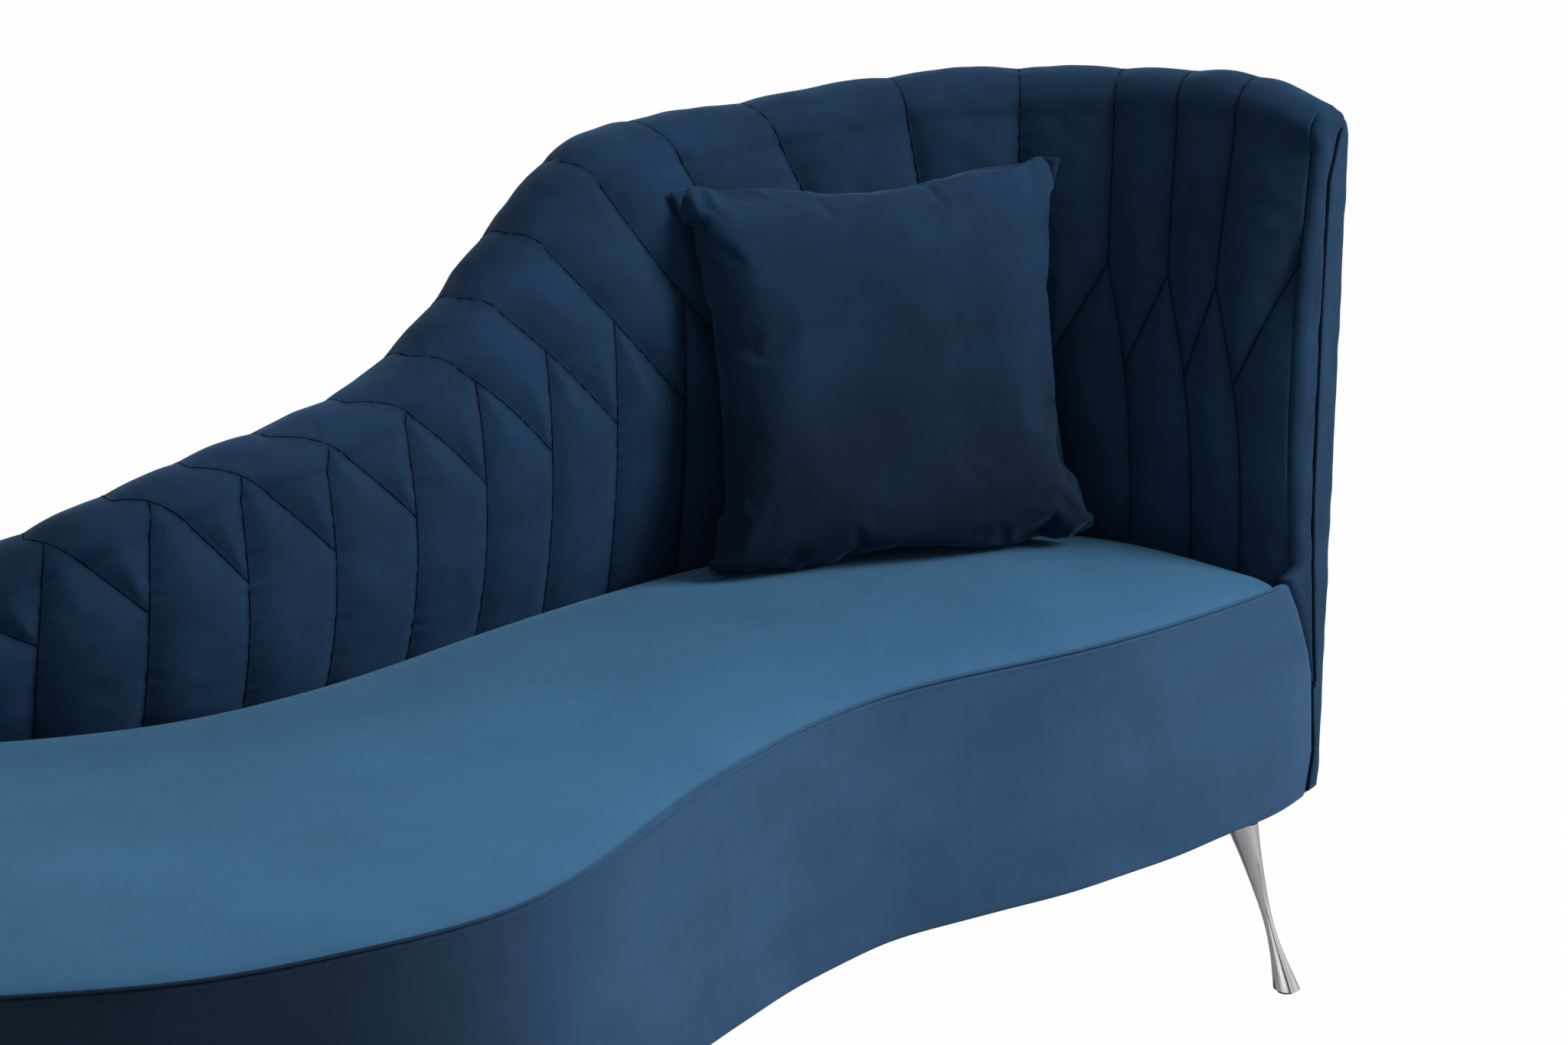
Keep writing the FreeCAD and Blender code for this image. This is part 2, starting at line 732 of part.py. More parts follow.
grooves = []
seam_foot = junction - seam_tuck
rows = [(row, +1) for row in left_seams] + [(row, -1) for row in right_seams]
rows = [([value * wall_stretch for value in row], way) for row, way in rows]
seat_places = [row[0] for row, way in rows]
mid_place = middle_seam * wall_stretch
left_count = len(left_seams)
for i, ((at_seat, at_fork, at_rim), way) in enumerate(rows):
    fork = fork_height(at_fork)
    grooves.append(groove(seam_path(at_seat, seam_foot, at_fork, fork, 3)
                          + seam_path(at_fork, fork, at_rim, rim_end(at_rim), 4)[1:],
                          groove_depth))
    if i in (left_count - 1, left_count):
        target = mid_place
    else:
        target = seat_places[i + way]
    grooves.append(groove(seam_path(at_fork, fork, target, cross_height(target), 2),
                          cross_depth))
grooves.append(groove(seam_path(mid_place, seam_foot, mid_place, cross_height(mid_place), 2),
                      groove_depth))
last = seat_places[-1]
arm_edge = back.length - arm_cap
grooves.append(groove(seam_path(arm_edge, junction + arm_seam_rise, last, cross_height(last), 3),
                      cross_depth))

pad = wall_loft(pad_profile, places)
save_part("inside_back_pad", pad.cut(grooves))


# The padded front edge of the arm, an inner roll and an outer strip
def cap_piece(u, thick, near, wide, bottom):
    """A plate across the backrest at u, between two distances outward."""
    run = back.along(u)
    body = Part.Face(section(u, *pad_outline(u))).extrude(run * thick)
    cutter = section(u, (near, bottom), [[(wide, bottom)], [(wide, far)], [(near, far)]])
    cutter = Part.Face(cutter)
    cutter.translate(run * -thick)
    return body.common(cutter.extrude(run * 3 * thick))


def pad_outline(u):
    low, mid, high = swell(u)
    t = thickness(u)
    r = roll(u)
    centre = (t + lean(u)) / 2
    half = (t - lean(u)) / 2
    rim = rim_height(u)
    turn = math.sqrt(0.5)
    return (0, leg_height), [
        [low], [mid, high],
        [(centre - half * turn, rim - r + r * turn), (centre, rim)],
        [(centre + half * turn, rim - r + r * turn), (t, rim - r)],
        [(t, leg_height)]]


strip_near = thickness(back.length) - arm_strip
wide_open = thickness(back.length) + 2 * back_bulge
save_part("arm_front_roll", cap_piece(cap_start, arm_cap, -wide_open, strip_near - fit_gap,
                                      seam_height + fit_gap))
save_part("arm_front_strip", cap_piece(cap_start, arm_cap, strip_near, wide_open, leg_height))
save_part("tail_end_cap", cap_piece(0, tail_cap, -wide_open, thickness(0) - cover - fit_gap,
                                    junction - welt_size))


# The loose pillow
def pillow_body(width, height, depth):
    """A knife-edged cushion, built from corner to corner so that all four edges draw in."""
    low = Vector(-width / 2, -height / 2, 0)
    high = Vector(width / 2, height / 2, 0)
    across = Vector(width / 2, -height / 2, 0)
    halves = []
    for side in (-1, 1):
        wires = []
        for d in pillow_cuts:
            centre = low * (1 - d) if side < 0 else high * (1 - d)
            wide = d * (1 - pillow_draw * 2 * math.sin(math.pi * d) * (1.2 - d))
            thick = depth / 2 * (1 - (1 - d) ** 2)
            a = centre + across * wide
            b = centre - across * wide
            top = Part.Arc(a, centre + Vector(0, 0, thick), b).toShape()
            base = Part.Arc(b, centre - Vector(0, 0, thick), a).toShape()
            wires.append(Part.Wire([top, base]))
        halves.append(Part.makeLoft(wires, True, False))
    return halves[0].fuse(halves[1])


def place_pillow(body):
    body.rotate(Vector(), Vector(0, 0, 1), pillow_tilt)
    body.translate(Vector(0, pillow_height / 2, 0))
    body.rotate(Vector(), Vector(1, 0, 0), 90 - pillow_lean)
    body.rotate(Vector(), Vector(0, 0, 1), pillow_turn)
    spot = Vector(pillow_x * overall_length / drawn_length, pillow_y * overall_depth / drawn_depth,
                  junction + pillow_lift)
    body.translate(spot)
    return body


skin = pillow_cover_thickness
pillow_outer = place_pillow(pillow_body(pillow_width, pillow_height, pillow_thickness))
shrink = 10 * skin
pillow_inner = pillow_body(pillow_width - shrink, pillow_height - shrink,
                           pillow_thickness - 2 * skin)
pillow_fill = pillow_body(pillow_width - shrink - 2, pillow_height - shrink - 2,
                          pillow_thickness - 2 * skin - 2 * fit_gap)
save_part("pillow_cover", pillow_outer.cut(place_pillow(pillow_inner)))
save_part("pillow_filling", place_pillow(pillow_fill))
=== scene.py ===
import bmesh
import bpy
import math
import numpy as np
from mathutils import Matrix, Vector, bvhtree, kdtree


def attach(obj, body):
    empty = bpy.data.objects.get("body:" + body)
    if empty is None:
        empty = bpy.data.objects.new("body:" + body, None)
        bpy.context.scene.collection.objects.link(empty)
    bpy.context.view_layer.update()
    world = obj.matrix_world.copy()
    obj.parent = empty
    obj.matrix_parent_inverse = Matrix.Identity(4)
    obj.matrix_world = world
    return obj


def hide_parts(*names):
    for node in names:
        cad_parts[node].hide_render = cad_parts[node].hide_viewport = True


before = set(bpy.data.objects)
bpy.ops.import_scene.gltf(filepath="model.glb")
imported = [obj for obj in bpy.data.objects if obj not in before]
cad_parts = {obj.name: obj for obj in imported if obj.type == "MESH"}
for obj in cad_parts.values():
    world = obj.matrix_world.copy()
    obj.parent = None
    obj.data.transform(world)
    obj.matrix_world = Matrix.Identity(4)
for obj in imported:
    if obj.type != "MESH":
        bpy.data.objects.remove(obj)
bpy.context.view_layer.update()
scene = bpy.context.scene
print("stage: frame loaded")

# The plan as drawn, in millimetres, seen from above with the arm to the right
plan = {
    "innerLine": [
        (-760, 145), (-700, 195), (-600, 213), (-480, 178), (-340, 153), (-200, 168), (-50, 220),
        (120, 284), (310, 336), (480, 350), (630, 318), (740, 245), (800, 144), (845, 50)],
    "footAndFront": [
        (-856, 95), (-873, -35), (-840, -160), (-745, -262), (-609, -325), (-467, -366),
        (-334, -370), (-214, -355), (-84, -286), (35, -195), (173, -110), (323, -50),
        (534, -28), (747, 17)],
    "wallThickness": [(0, 66), (400, 90), (950, 95), (1430, 96), (1814, 100)],
    "rimRise": [
        (0, 60), (191, 120), (391, 192), (563, 234), (748, 264), (820, 297), (944, 396),
        (1016, 449), (1135, 465), (1392, 484), (1621, 494), (1740, 494), (1814, 474)],
    "forkRise": [
        (250, 150), (370, 190), (473, 205), (565, 216), (765, 239), (1020, 284), (1814, 284)],
    "crossRise": [(250, 65), (460, 110), (740, 140), (1010, 179), (1110, 187), (1814, 187)],
    "drawnWall": 1814.0,
    "fullRise": 297.6,      # from this rise on, the backrest leans and swells in full
    "rollShare": 0.8,       # the roll of the rim is at most this share of the rise
    "straight": 5.0,        # the inner face is upright up to this far below the junction
    "padTuck": 70.0,        # how far the padding goes down behind the seat
    "forkBelowRim": 0.2,    # in shares of the rim's roll
    "seamBelowRim": 0.03,
    "crossBelowRoll": 20.0,
    "legHeight": 175.0,
    "seamHeight": 430.0,
    "junction": 445.0,
    "lean": 15.0,
    "bulge": 22.0,
    "hook": 12.0,
    "armCap": 8.0,
    "tailCap": 8.0,
    "gap": 0.4,
}


# A natural cubic through the given values, for arrays of places
class SmoothLine:
    def __init__(self, knots, values):
        k = np.array(knots, float)
        v = np.array(values, float)
        count = len(k)
        step = np.diff(k)
        system = np.eye(count)
        pull = np.zeros(count)
        for i in range(1, count - 1):
            system[i, i - 1:i + 2] = step[i - 1], 2 * (step[i - 1] + step[i]), step[i]
            pull[i] = 6 * ((v[i + 1] - v[i]) / step[i] - (v[i] - v[i - 1]) / step[i - 1])
        self.knots, self.values, self.bends = k, v, np.linalg.solve(system, pull)

    def __call__(self, place):
        place = np.asarray(place, float)
        i = np.clip(np.searchsorted(self.knots, place) - 1, 0, len(self.knots) - 2)
        span = self.knots[i + 1] - self.knots[i]
        b = (place - self.knots[i]) / span
        a = 1 - b
        bend = (a ** 3 - a) * self.bends[i] + (b ** 3 - b) * self.bends[i + 1]
        return a * self.values[i] + b * self.values[i + 1] + bend * span ** 2 / 6


# A smooth line in plan, measured by the distance travelled along it
class PlanLine:
    def __init__(self, points):
        p = np.array(points, float)
        knots = np.concatenate([[0], np.cumsum(np.hypot(*np.diff(p, axis=0).T))])
        self.x, self.y = SmoothLine(knots, p[:, 0]), SmoothLine(knots, p[:, 1])
        self.fine = np.linspace(0, knots[-1], 4001)
        run = np.hypot(np.diff(self.x(self.fine)), np.diff(self.y(self.fine)))
        self.travelled = np.concatenate([[0], np.cumsum(run)])
        self.length = self.travelled[-1]

    def point(self, distance):
        t = np.interp(distance, self.travelled, self.fine)
        return np.stack([self.x(t), self.y(t)], -1)

    def along(self, distance):
        t = np.interp(distance, self.travelled, self.fine)
        run = np.stack([self.x(t + 0.5) - self.x(t - 0.5), self.y(t + 0.5) - self.y(t - 0.5)], -1)
        return run / np.linalg.norm(run, axis=-1, keepdims=True)

    def left(self, distance):
        run = self.along(distance)
        return np.stack([-run[..., 1], run[..., 0]], -1)


backLine = PlanLine(plan["innerLine"])
thicknessAt = SmoothLine(*zip(*plan["wallThickness"]))
rimRiseAt = SmoothLine(*zip(*plan["rimRise"]))
forkRiseAt = SmoothLine(*zip(*plan["forkRise"]))
crossRiseAt = SmoothLine(*zip(*plan["crossRise"]))


def flatPoint(u, w):
    return backLine.point(u) + backLine.left(u) * np.asarray(w, float)[..., None]


tail, tuck = flatPoint(0.0, thicknessAt(0.0)), flatPoint(backLine.length, 0.0)
corner = flatPoint(backLine.length, thicknessAt(backLine.length))
frontLine = PlanLine([tuple(tail)] + plan["footAndFront"] + [tuple(tuck), tuple(corner)])
ringU = np.linspace(0, backLine.length, 401)
ring = np.concatenate([frontLine.point(np.linspace(0, frontLine.length, 401)),
                       flatPoint(ringU, thicknessAt(ringU))])
planMiddle = (ring.min(0) + ring.max(0)) / 2


# Points on the backrest in metres, in the frame of the CAD model
def wallPoint(u, w, z):
    u, w, z = np.broadcast_arrays(np.asarray(u, float), w, z)
    flat = flatPoint(u, w) - planMiddle
    return np.concatenate([flat, z[..., None]], -1) / 1000


def frontPoint(s, inward, z):
    s, inward, z = np.broadcast_arrays(np.asarray(s, float), inward, z)
    flat = frontLine.point(s) + frontLine.left(s) * inward[..., None] - planMiddle
    return np.concatenate([flat, z[..., None]], -1) / 1000


def fullness(u):
    return np.minimum(1, rimRiseAt(u) / plan["fullRise"])


def leanAt(u):
    return plan["lean"] * fullness(u)


def bulgeAt(u):
    return plan["bulge"] * fullness(u)


def rollAt(u):
    return np.minimum((thicknessAt(u) - leanAt(u)) / 2, plan["rollShare"] * rimRiseAt(u))


def rimAt(u):
    return plan["junction"] + rimRiseAt(u)


def hookAt(u):
    return rimAt(u) - rollAt(u) - plan["hook"]


# Camera: the photograph's place and angle
shot = {"lens": 80.0, "sensor": 36.0, "place": (-1220.0, -2730.0, 1538.0), "heading": 28.0,
        "down": 16.898, "clip": (0.1, 50.0)}
cameraData = bpy.data.cameras.new("photoCamera")
cameraData.lens, cameraData.sensor_width = shot["lens"], shot["sensor"]
cameraData.clip_start, cameraData.clip_end = shot["clip"]
camera = bpy.data.objects.new("photoCamera", cameraData)
scene.collection.objects.link(camera)
camera.location = [(a - b) / 1000 for a, b in zip(shot["place"], (*planMiddle, 0))]
heading, down = math.radians(shot["heading"]), math.radians(shot["down"])
camera.rotation_euler = (math.pi / 2 - down, 0, -heading)
scene.camera = camera
print("stage: camera placed")


# Adds a piece; its faces are turned to look outward, unless they are right as they come
def addMesh(name, points, faces, turn=True, merge=0.0):
    mesh = bpy.data.meshes.new(name)
    mesh.from_pydata(np.asarray(points, float).tolist(), [], faces)
    body = bmesh.new()
    body.from_mesh(mesh)
    if merge > 0:
        bmesh.ops.remove_doubles(body, verts=body.verts, dist=merge)
    if turn:
        bmesh.ops.recalc_face_normals(body, faces=body.faces)
    body.to_mesh(mesh)
    body.free()
    mesh.polygons.foreach_set("use_smooth", [True] * len(mesh.polygons))
    piece = bpy.data.objects.new(name, mesh)
    scene.collection.objects.link(piece)
    return piece


def gridFaces(rows, cols, wrap=False, flip=False, start=0):
    r, c = np.meshgrid(np.arange(rows - 1), np.arange(cols if wrap else cols - 1), indexing="ij")
    nextC = (c + 1) % cols
    quads = np.stack([r * cols + c, r * cols + nextC, (r + 1) * cols + nextC, (r + 1) * cols + c], -1)
    quads = quads.reshape(-1, 4) + start
    return (quads[:, ::-1] if flip else quads).tolist()


# One piece from closed bodies, each a stack of closed rings with the same number of points
def ringBodies(name, stacks):
    points, faces, start = [], [], 0
    for rings in stacks:
        count, around = rings.shape[:2]
        last = start + (count - 1) * around
        faces += gridFaces(count, around, wrap=True, start=start)
        faces += [list(range(start, start + around)), list(range(last, last + around))]
        points.append(rings.reshape(-1, 3))
        start = last + around
    return addMesh(name, np.concatenate(points), faces)


def ringBody(name, rings):
    return ringBodies(name, [rings])


# Rings round a path, with a given radius in metres; guide is any way that the path never takes
def tubeRings(path, radius, guide, around):
    run = np.gradient(path, axis=0)
    run /= np.maximum(np.linalg.norm(run, axis=1, keepdims=True), 1e-9)
    side = np.cross(run, guide)
    side /= np.linalg.norm(side, axis=1, keepdims=True)
    over = np.cross(side, run)
    angle = np.linspace(0, 2 * math.pi, around, endpoint=False)[:, None]
    return path[:, None] + radius * (side[:, None] * np.cos(angle) + over[:, None] * np.sin(angle))


def gridNormals(grid):
    du = np.gradient(grid, axis=0)
    dv = np.gradient(grid, axis=1)
    normal = np.cross(du, dv)
    return normal / np.maximum(np.linalg.norm(normal, axis=-1, keepdims=True), 1e-9)


# A smooth random field, about 1 high, whose waves are about as long as size, in metres
def softNoise(points, size, seed, waves=18):
    rng = np.random.default_rng(seed)
    way = rng.normal(size=(waves, 3))
    way /= np.linalg.norm(way, axis=1, keepdims=True)
    pace = 2 * math.pi / size * rng.uniform(0.6, 1.6, waves)
    start = rng.uniform(0, 2 * math.pi, waves)
    field = sum(np.sin(points @ way[i] * pace[i] + start[i]) for i in range(waves))
    return field * math.sqrt(2 / waves)


def lineNoise(along, size, seed):
    return softNoise(np.stack([along, along * 0, along * 0], -1), size, seed)


# Sets each vertex's painted seam shade, which the velvet's material reads as a darker colour
def setMask(piece, values):
    layer = piece.data.attributes.new("crease", "FLOAT", "POINT")
    layer.data.foreach_set("value", np.asarray(values, np.float32).ravel())


# The channelled inside of the backrest
channels = {
    "left": [
        (58, 64, 60), (154, 166, 160), (250, 268, 256), (346, 372, 354), (446, 473, 438),
        (547, 565, 521), (640, 666, 614), (742, 765, 712), (836, 851, 796), (928, 935, 864),
        (1016, 1022, 928), (1105, 1112, 1002), (1205, 1206, 1100), (1305, 1306, 1227),
        (1402, 1408, 1380)],
    "middle": 1453,
    "right": [(1535, 1500, 1500), (1620, 1596, 1590), (1691, 1665, 1654), (1748, 1722, 1724)],
    "armSeamRise": 330.0,
    "fineness": 3.0,        # millimetres between mesh lines
    "rows": (130, 34, 6),   # mesh lines up the face, over the rim and down the outside
    "crown": 2.0,           # how far a channel's middle stands above the CAD face
    "dip": 14.0,            # how far a seam lies below the channel's middle, before rounding
    "dipReach": 42.0,
    "dipRound": 3.4,
    "rimDip": 0.28,         # share of that depth left on the rim
    "rimReach": (0.88, 0.3),    # the dips fade over this part of the way up and over
    "puckerHeight": 0.5,
    "puckerReach": 9.0,
    "puckerWave": 0.012,
    "puckerShift": 7.3,     # sets the puckers of one seam off from the next one's
    "lumps": [(0.9, 0.10, 8), (0.35, 0.035, 9)],    # height, wave in metres, seed
    "creaseWidth": 3.6,
    "threadRadius": 0.75,
    "threadStep": 6.0,
    "threadRise": 0.2,      # over the bottom of the seam
    "threadSink": 0.4,      # how much lower it lies on the rim
    "endRound": 75.0,       # over this length the face rounds off towards the arm's front
    "endDrop": 24.0,
    "endDropOnRim": 0.15,   # share of that drop left on the rim
    "backInset": 36.0,      # the hidden rear of the padding, inward of the outside
    "rimInset": 9.0,
    "underRim": 29.0,
}
wallEnd = backLine.length
padLow = plan["junction"] - plan["padTuck"]


# A place on the pad: 0 to 1 up the inner face, to 2 over the rim, to 3 down the outside
def padPlace(u, v):
    u, v = np.broadcast_arrays(np.asarray(u, float), v)
    t, lean, r = thicknessAt(u), leanAt(u), rollAt(u)
    low, top = plan["junction"] - plan["straight"], rimAt(u) - r
    z = padLow + v * (top - padLow)
    share = np.clip((z - low) / (top - low), 0, 1)
    bow = -4 * bulgeAt(u) * share * (1 - share) + lean * share * (2 * share + 1) / 3
    turn = np.clip(v - 1, 0, 1) * math.pi
    half = (t - lean) / 2
    w = np.where(v < 1, bow, lean + half - half * np.cos(turn))
    z = np.where(v < 1, z, top + r * np.sin(turn))
    down = np.clip(v - 2, 0, 1)
    return w, z - down * plan["hook"] * (v > 2)


# Lengths of the inner face and of the way over the rim
def padSizes(u):
    t, lean, r = thicknessAt(u), leanAt(u), rollAt(u)
    return rimAt(u) - r - padLow, math.pi * (r + (t - lean) / 2) / 2


# Surface length up to a place, and back from a length to a place
def padLength(u, v):
    face, over = padSizes(u)
    return np.where(v < 1, v * face, np.where(v < 2, face + (v - 1) * over,
                                              face + over + (v - 2) * plan["hook"]))


def placeAtLength(u, length):
    face, over = padSizes(u)
    return np.where(length < face, length / face,
                    np.where(length < face + over, 1 + (length - face) / over,
                             2 + (length - face - over) / plan["hook"]))


def placeAtHeight(u, z):
    r = rollAt(u)
    top = rimAt(u) - r
    up = np.clip((z - top) / r, 0, 1)
    return np.where(z < top, (z - padLow) / (top - padLow), 1 + np.arcsin(up) / math.pi)


# A seam through places and heights: straight from one to the next, or in one bend
def seamThrough(knots, bent=False):
    u, height = np.array(knots, float).T
    length = padLength(u, placeAtHeight(u, height))
    if bent:
        place = np.linspace(u[0], u[-1], 200)
        return place, placeAtLength(place, SmoothLine(u, length)(place))
    share = np.linspace(0, 1, 90)
    ends = list(zip(u, length))
    path = np.concatenate([np.stack([a + (c - a) * share, b + (d - b) * share], -1)
                           for (a, b), (c, d) in zip(ends, ends[1:])])
    return path[:, 0], placeAtLength(path[:, 0], path[:, 1])


def forkAt(u):
    return plan["junction"] + min(forkRiseAt(u), rimRiseAt(u) - plan["forkBelowRim"] * rollAt(u))


def crossAt(u):
    return plan["junction"] + min(crossRiseAt(u),
                                  rimRiseAt(u) - rollAt(u) - plan["crossBelowRoll"])


def seamLines():
    stretch = wallEnd / plan["drawnWall"]
    rows = [(np.array(row) * stretch, way) for side, way in (("left", 1), ("right", -1))
            for row in channels[side]]
    middle = channels["middle"] * stretch
    leftCount = len(channels["left"])
    foot = padLow + 2
    # Where each upright seam is met by the slanting one that comes from its neighbour
    crosses = [(seat + fork) / 2 if way > 0 else seat for (seat, fork, rim), way in rows]
    lines = []
    for i, ((atSeat, atFork, atRim), way) in enumerate(rows):
        fork = forkAt(atFork)
        upright = SmoothLine([padLow, crossAt(crosses[i]), fork], [atSeat, crosses[i], atFork])
        z = np.linspace(foot, fork, 160)
        lines.append((upright(z), placeAtHeight(upright(z), z)))
        target = middle if i in (leftCount - 1, leftCount) else crosses[i + way]
        top = rimAt(atRim) - plan["seamBelowRim"] * rollAt(atRim)
        u, v = seamThrough([(atRim, top), (atFork, fork), (target, crossAt(target))], way > 0)
        over = np.linspace(2.98, v[0], 60)
        lines.append((np.append(u[0] + over * 0, u), np.append(over, v)))
    lines.append(seamThrough([(middle, foot), (middle, crossAt(middle))]))
    armSeam = wallEnd - plan["armCap"], plan["junction"] + channels["armSeamRise"]
    lines.append(seamThrough([armSeam, (crosses[-1], crossAt(crosses[-1]))]))
    return lines


# Points along all seams, each with how far along its seam it lies
def seamCloud():
    paths = [wallPoint(u, *padPlace(u, v)) for u, v in seamLines()]
    travel = []
    for i, path in enumerate(paths):
        step = np.linalg.norm(np.diff(path, axis=0), axis=1)
        travel.append(np.append(0, np.cumsum(step)) + (i + 1) * channels["puckerShift"])
    return np.concatenate(paths), np.concatenate(travel)


# Distance of each point to the nearest seam, and how far along that seam it is
def seamDistance(points, seams, travel):
    tree = kdtree.KDTree(len(seams))
    for i, p in enumerate(seams):
        tree.insert(p, i)
    tree.balance()
    found = [tree.find(p) for p in points]
    return np.array([f[2] for f in found]), travel[[f[1] for f in found]]


# How far the padding sinks at a distance from the nearest seam
def seamFall(far):
    rounded = np.sqrt(far ** 2 + channels["dipRound"] ** 2)
    reach = np.clip(rounded / channels["dipReach"], 0, 1)
    return channels["dip"] * (1 - (1 - (1 - reach) ** 2) ** 0.6)


def smoothShare(v, start, reach):
    share = np.clip((v - start) / reach, 0, 1)
    return share ** 2 * (3 - 2 * share)


# The padding's height over the CAD face, without its softer irregularities
def padRise(far, v):
    onRim = smoothShare(v, *channels["rimReach"])
    return channels["crown"] - seamFall(far) * (1 - (1 - channels["rimDip"]) * onRim)


def hemShare(v):
    return np.clip(v - 2, 0, 1)


# How far the face falls back towards the arm's front edge, less so over the rim
def endFall(u, v):
    end = wallEnd - plan["armCap"] - plan["gap"]
    onRim = smoothShare(v, 0.8, 0.45)
    return (channels["endDrop"] * (1 - (1 - channels["endDropOnRim"]) * onRim)
            * np.clip((u - end) / channels["endRound"] + 1, 0, 1) ** 2)


def buildInsideBack():
    start, end = plan["tailCap"] + plan["gap"], wallEnd - plan["armCap"] - plan["gap"]
    u = np.linspace(start, end, int((end - start) / channels["fineness"]))
    faceRows, rimRows, hookRows = channels["rows"]
    v = np.concatenate([np.linspace(0, 1, faceRows)[:-1], np.linspace(1, 2, rimRows)[:-1],
                        np.linspace(2, 3, hookRows)])
    gridU, gridV = np.meshgrid(u, v, indexing="ij")
    face = wallPoint(gridU, *padPlace(gridU, gridV))
    normal = gridNormals(face)
    centre = len(u) // 2
    if normal[centre, faceRows // 2] @ np.append(backLine.left(u[centre]), 0) > 0:
        normal = -normal
    far, along = seamDistance(face.reshape(-1, 3), *seamCloud())
    far, along = far.reshape(gridU.shape) * 1000, along.reshape(gridU.shape)
    pucker = lineNoise(along, channels["puckerWave"], 5) * np.exp(-far / channels["puckerReach"])
    rise = padRise(far, gridV) + channels["puckerHeight"] * pucker * np.clip(far / 3, 0, 1)
    reach = np.clip(far / channels["dipReach"], 0, 1)
    for height, wave, seed in channels["lumps"]:
        rise += height * softNoise(face, wave, seed) * reach
    rise -= endFall(gridU, gridV)
    hem = hemShare(gridV)
    rise = rise * (1 - hem) - hem ** 4
    face = face + normal * rise[..., None] / 1000
    t = thicknessAt(u)
    inner, under = t - channels["rimInset"], rimAt(u) - channels["underRim"]
    rear = t - channels["backInset"]
    hidden = [(inner, hookAt(u)), (inner, under), (rear, under), (rear, padLow)]
    rest = np.stack([wallPoint(u, w, z) for w, z in hidden], 1)
    piece = ringBody("insideBack", np.concatenate([face, rest], 1))
    # Painted shade along the seams: 1 at a seam, fading to 0 within a few millimetres
    crease = np.exp(-(far / channels["creaseWidth"]) ** 2)
    setMask(piece, np.concatenate([crease, np.zeros(rest.shape[:2])], 1))
    return piece


# The sewing thread, laid along the bottoms of the seams
def buildThreads():
    threads = []
    for u, v in seamLines():
        path = wallPoint(u, *padPlace(u, v))
        aside = wallPoint(u + 1.0, *padPlace(u + 1.0, v)) - path
        above = wallPoint(u, *padPlace(u, v + 0.004)) - path
        normal = np.cross(aside, above)
        normal /= np.maximum(np.linalg.norm(normal, axis=1, keepdims=True), 1e-12)
        rise = (padRise(0.0, v) * (1 - hemShare(v)) - endFall(u, v) + channels["threadRise"]
                - channels["threadSink"] * np.clip((v - 0.9) / 0.3, 0, 1))
        path = path + normal * rise[:, None] / 1000
        length = np.append(0, np.cumsum(np.linalg.norm(np.diff(path, axis=0), axis=1)))
        count = max(6, int(length[-1] * 1000 / channels["threadStep"]))
        even = np.linspace(0, length[-1], count)
        path = np.stack([np.interp(even, length, path[:, k]) for k in range(3)], -1)
        threads.append(tubeRings(path, channels["threadRadius"] / 1000, (0.31, 0.92, 0.23), 6))
    return ringBodies("backThreads", threads)


insideBack = buildInsideBack()
backThreads = buildThreads()
print("stage: inside of the backrest", len(insideBack.data.vertices))


# The plain outside of the backrest
outsideShape = {"spacing": 9.0, "rows": 60, "depth": 5.0, "softness": 0.8, "wave": 0.16,
                "edgeInset": 2.2, "edgeRound": 7.0, "calm": 60.0, "underHook": 0.6}


def buildOutsideBack():
    shape = outsideShape
    start, end = plan["gap"], wallEnd - plan["armCap"] - plan["gap"]
    u = np.linspace(start, end, int((end - start) / shape["spacing"]))
    top, low = hookAt(u) - shape["underHook"], plan["legHeight"]
    z = low + (top[:, None] - low) * np.linspace(0, 1, shape["rows"])[None, :]
    edge = np.minimum(z - low, top[:, None] - z)
    inset = shape["edgeInset"] * (1 - np.clip(edge / shape["edgeRound"], 0, 1)) ** 2
    t = thicknessAt(u)[:, None]
    grid = wallPoint(u[:, None], t - inset, z)
    soft = softNoise(grid, shape["wave"], 21) * shape["softness"]
    grid = wallPoint(u[:, None], t - inset + soft * np.clip(edge / shape["calm"], 0, 1), z)
    inner = t[:, 0] - shape["depth"]
    rest = np.stack([wallPoint(u, inner, top - 1), wallPoint(u, inner, low + 1)], 1)
    return ringBody("outsideBack", np.concatenate([grid, rest], 1))


outsideBack = buildOutsideBack()

# The seat: shares of the front line and of the backrest that its sections join
seatShape = {
    "stations": [
        (0.004, 0.000), (0.050, 0.014), (0.105, 0.033), (0.161, 0.058), (0.221, 0.089),
        (0.286, 0.128), (0.350, 0.178), (0.407, 0.246), (0.460, 0.320), (0.522, 0.397),
        (0.588, 0.469), (0.657, 0.546), (0.727, 0.624), (0.818, 0.746), (0.866, 0.806),
        (0.913, 0.879), (0.936, 0.934), (0.949, 0.975)],
    "sections": 330,
    "inset": 3.6,
    "backGap": -3.0,
    "riseToBack": 15.0,
    "crown": 28.0,
    "fullWidth": 380.0,     # a narrower stretch of seat is crowned less
    "underside": 350.0,
    "across": 90,
    "flatness": (2.6, 0.6),
    "backTuck": (9.0, 0.03),    # drop at the backrest, over this share of the depth
    "softness": 0.8,
    "wave": 0.22,
}


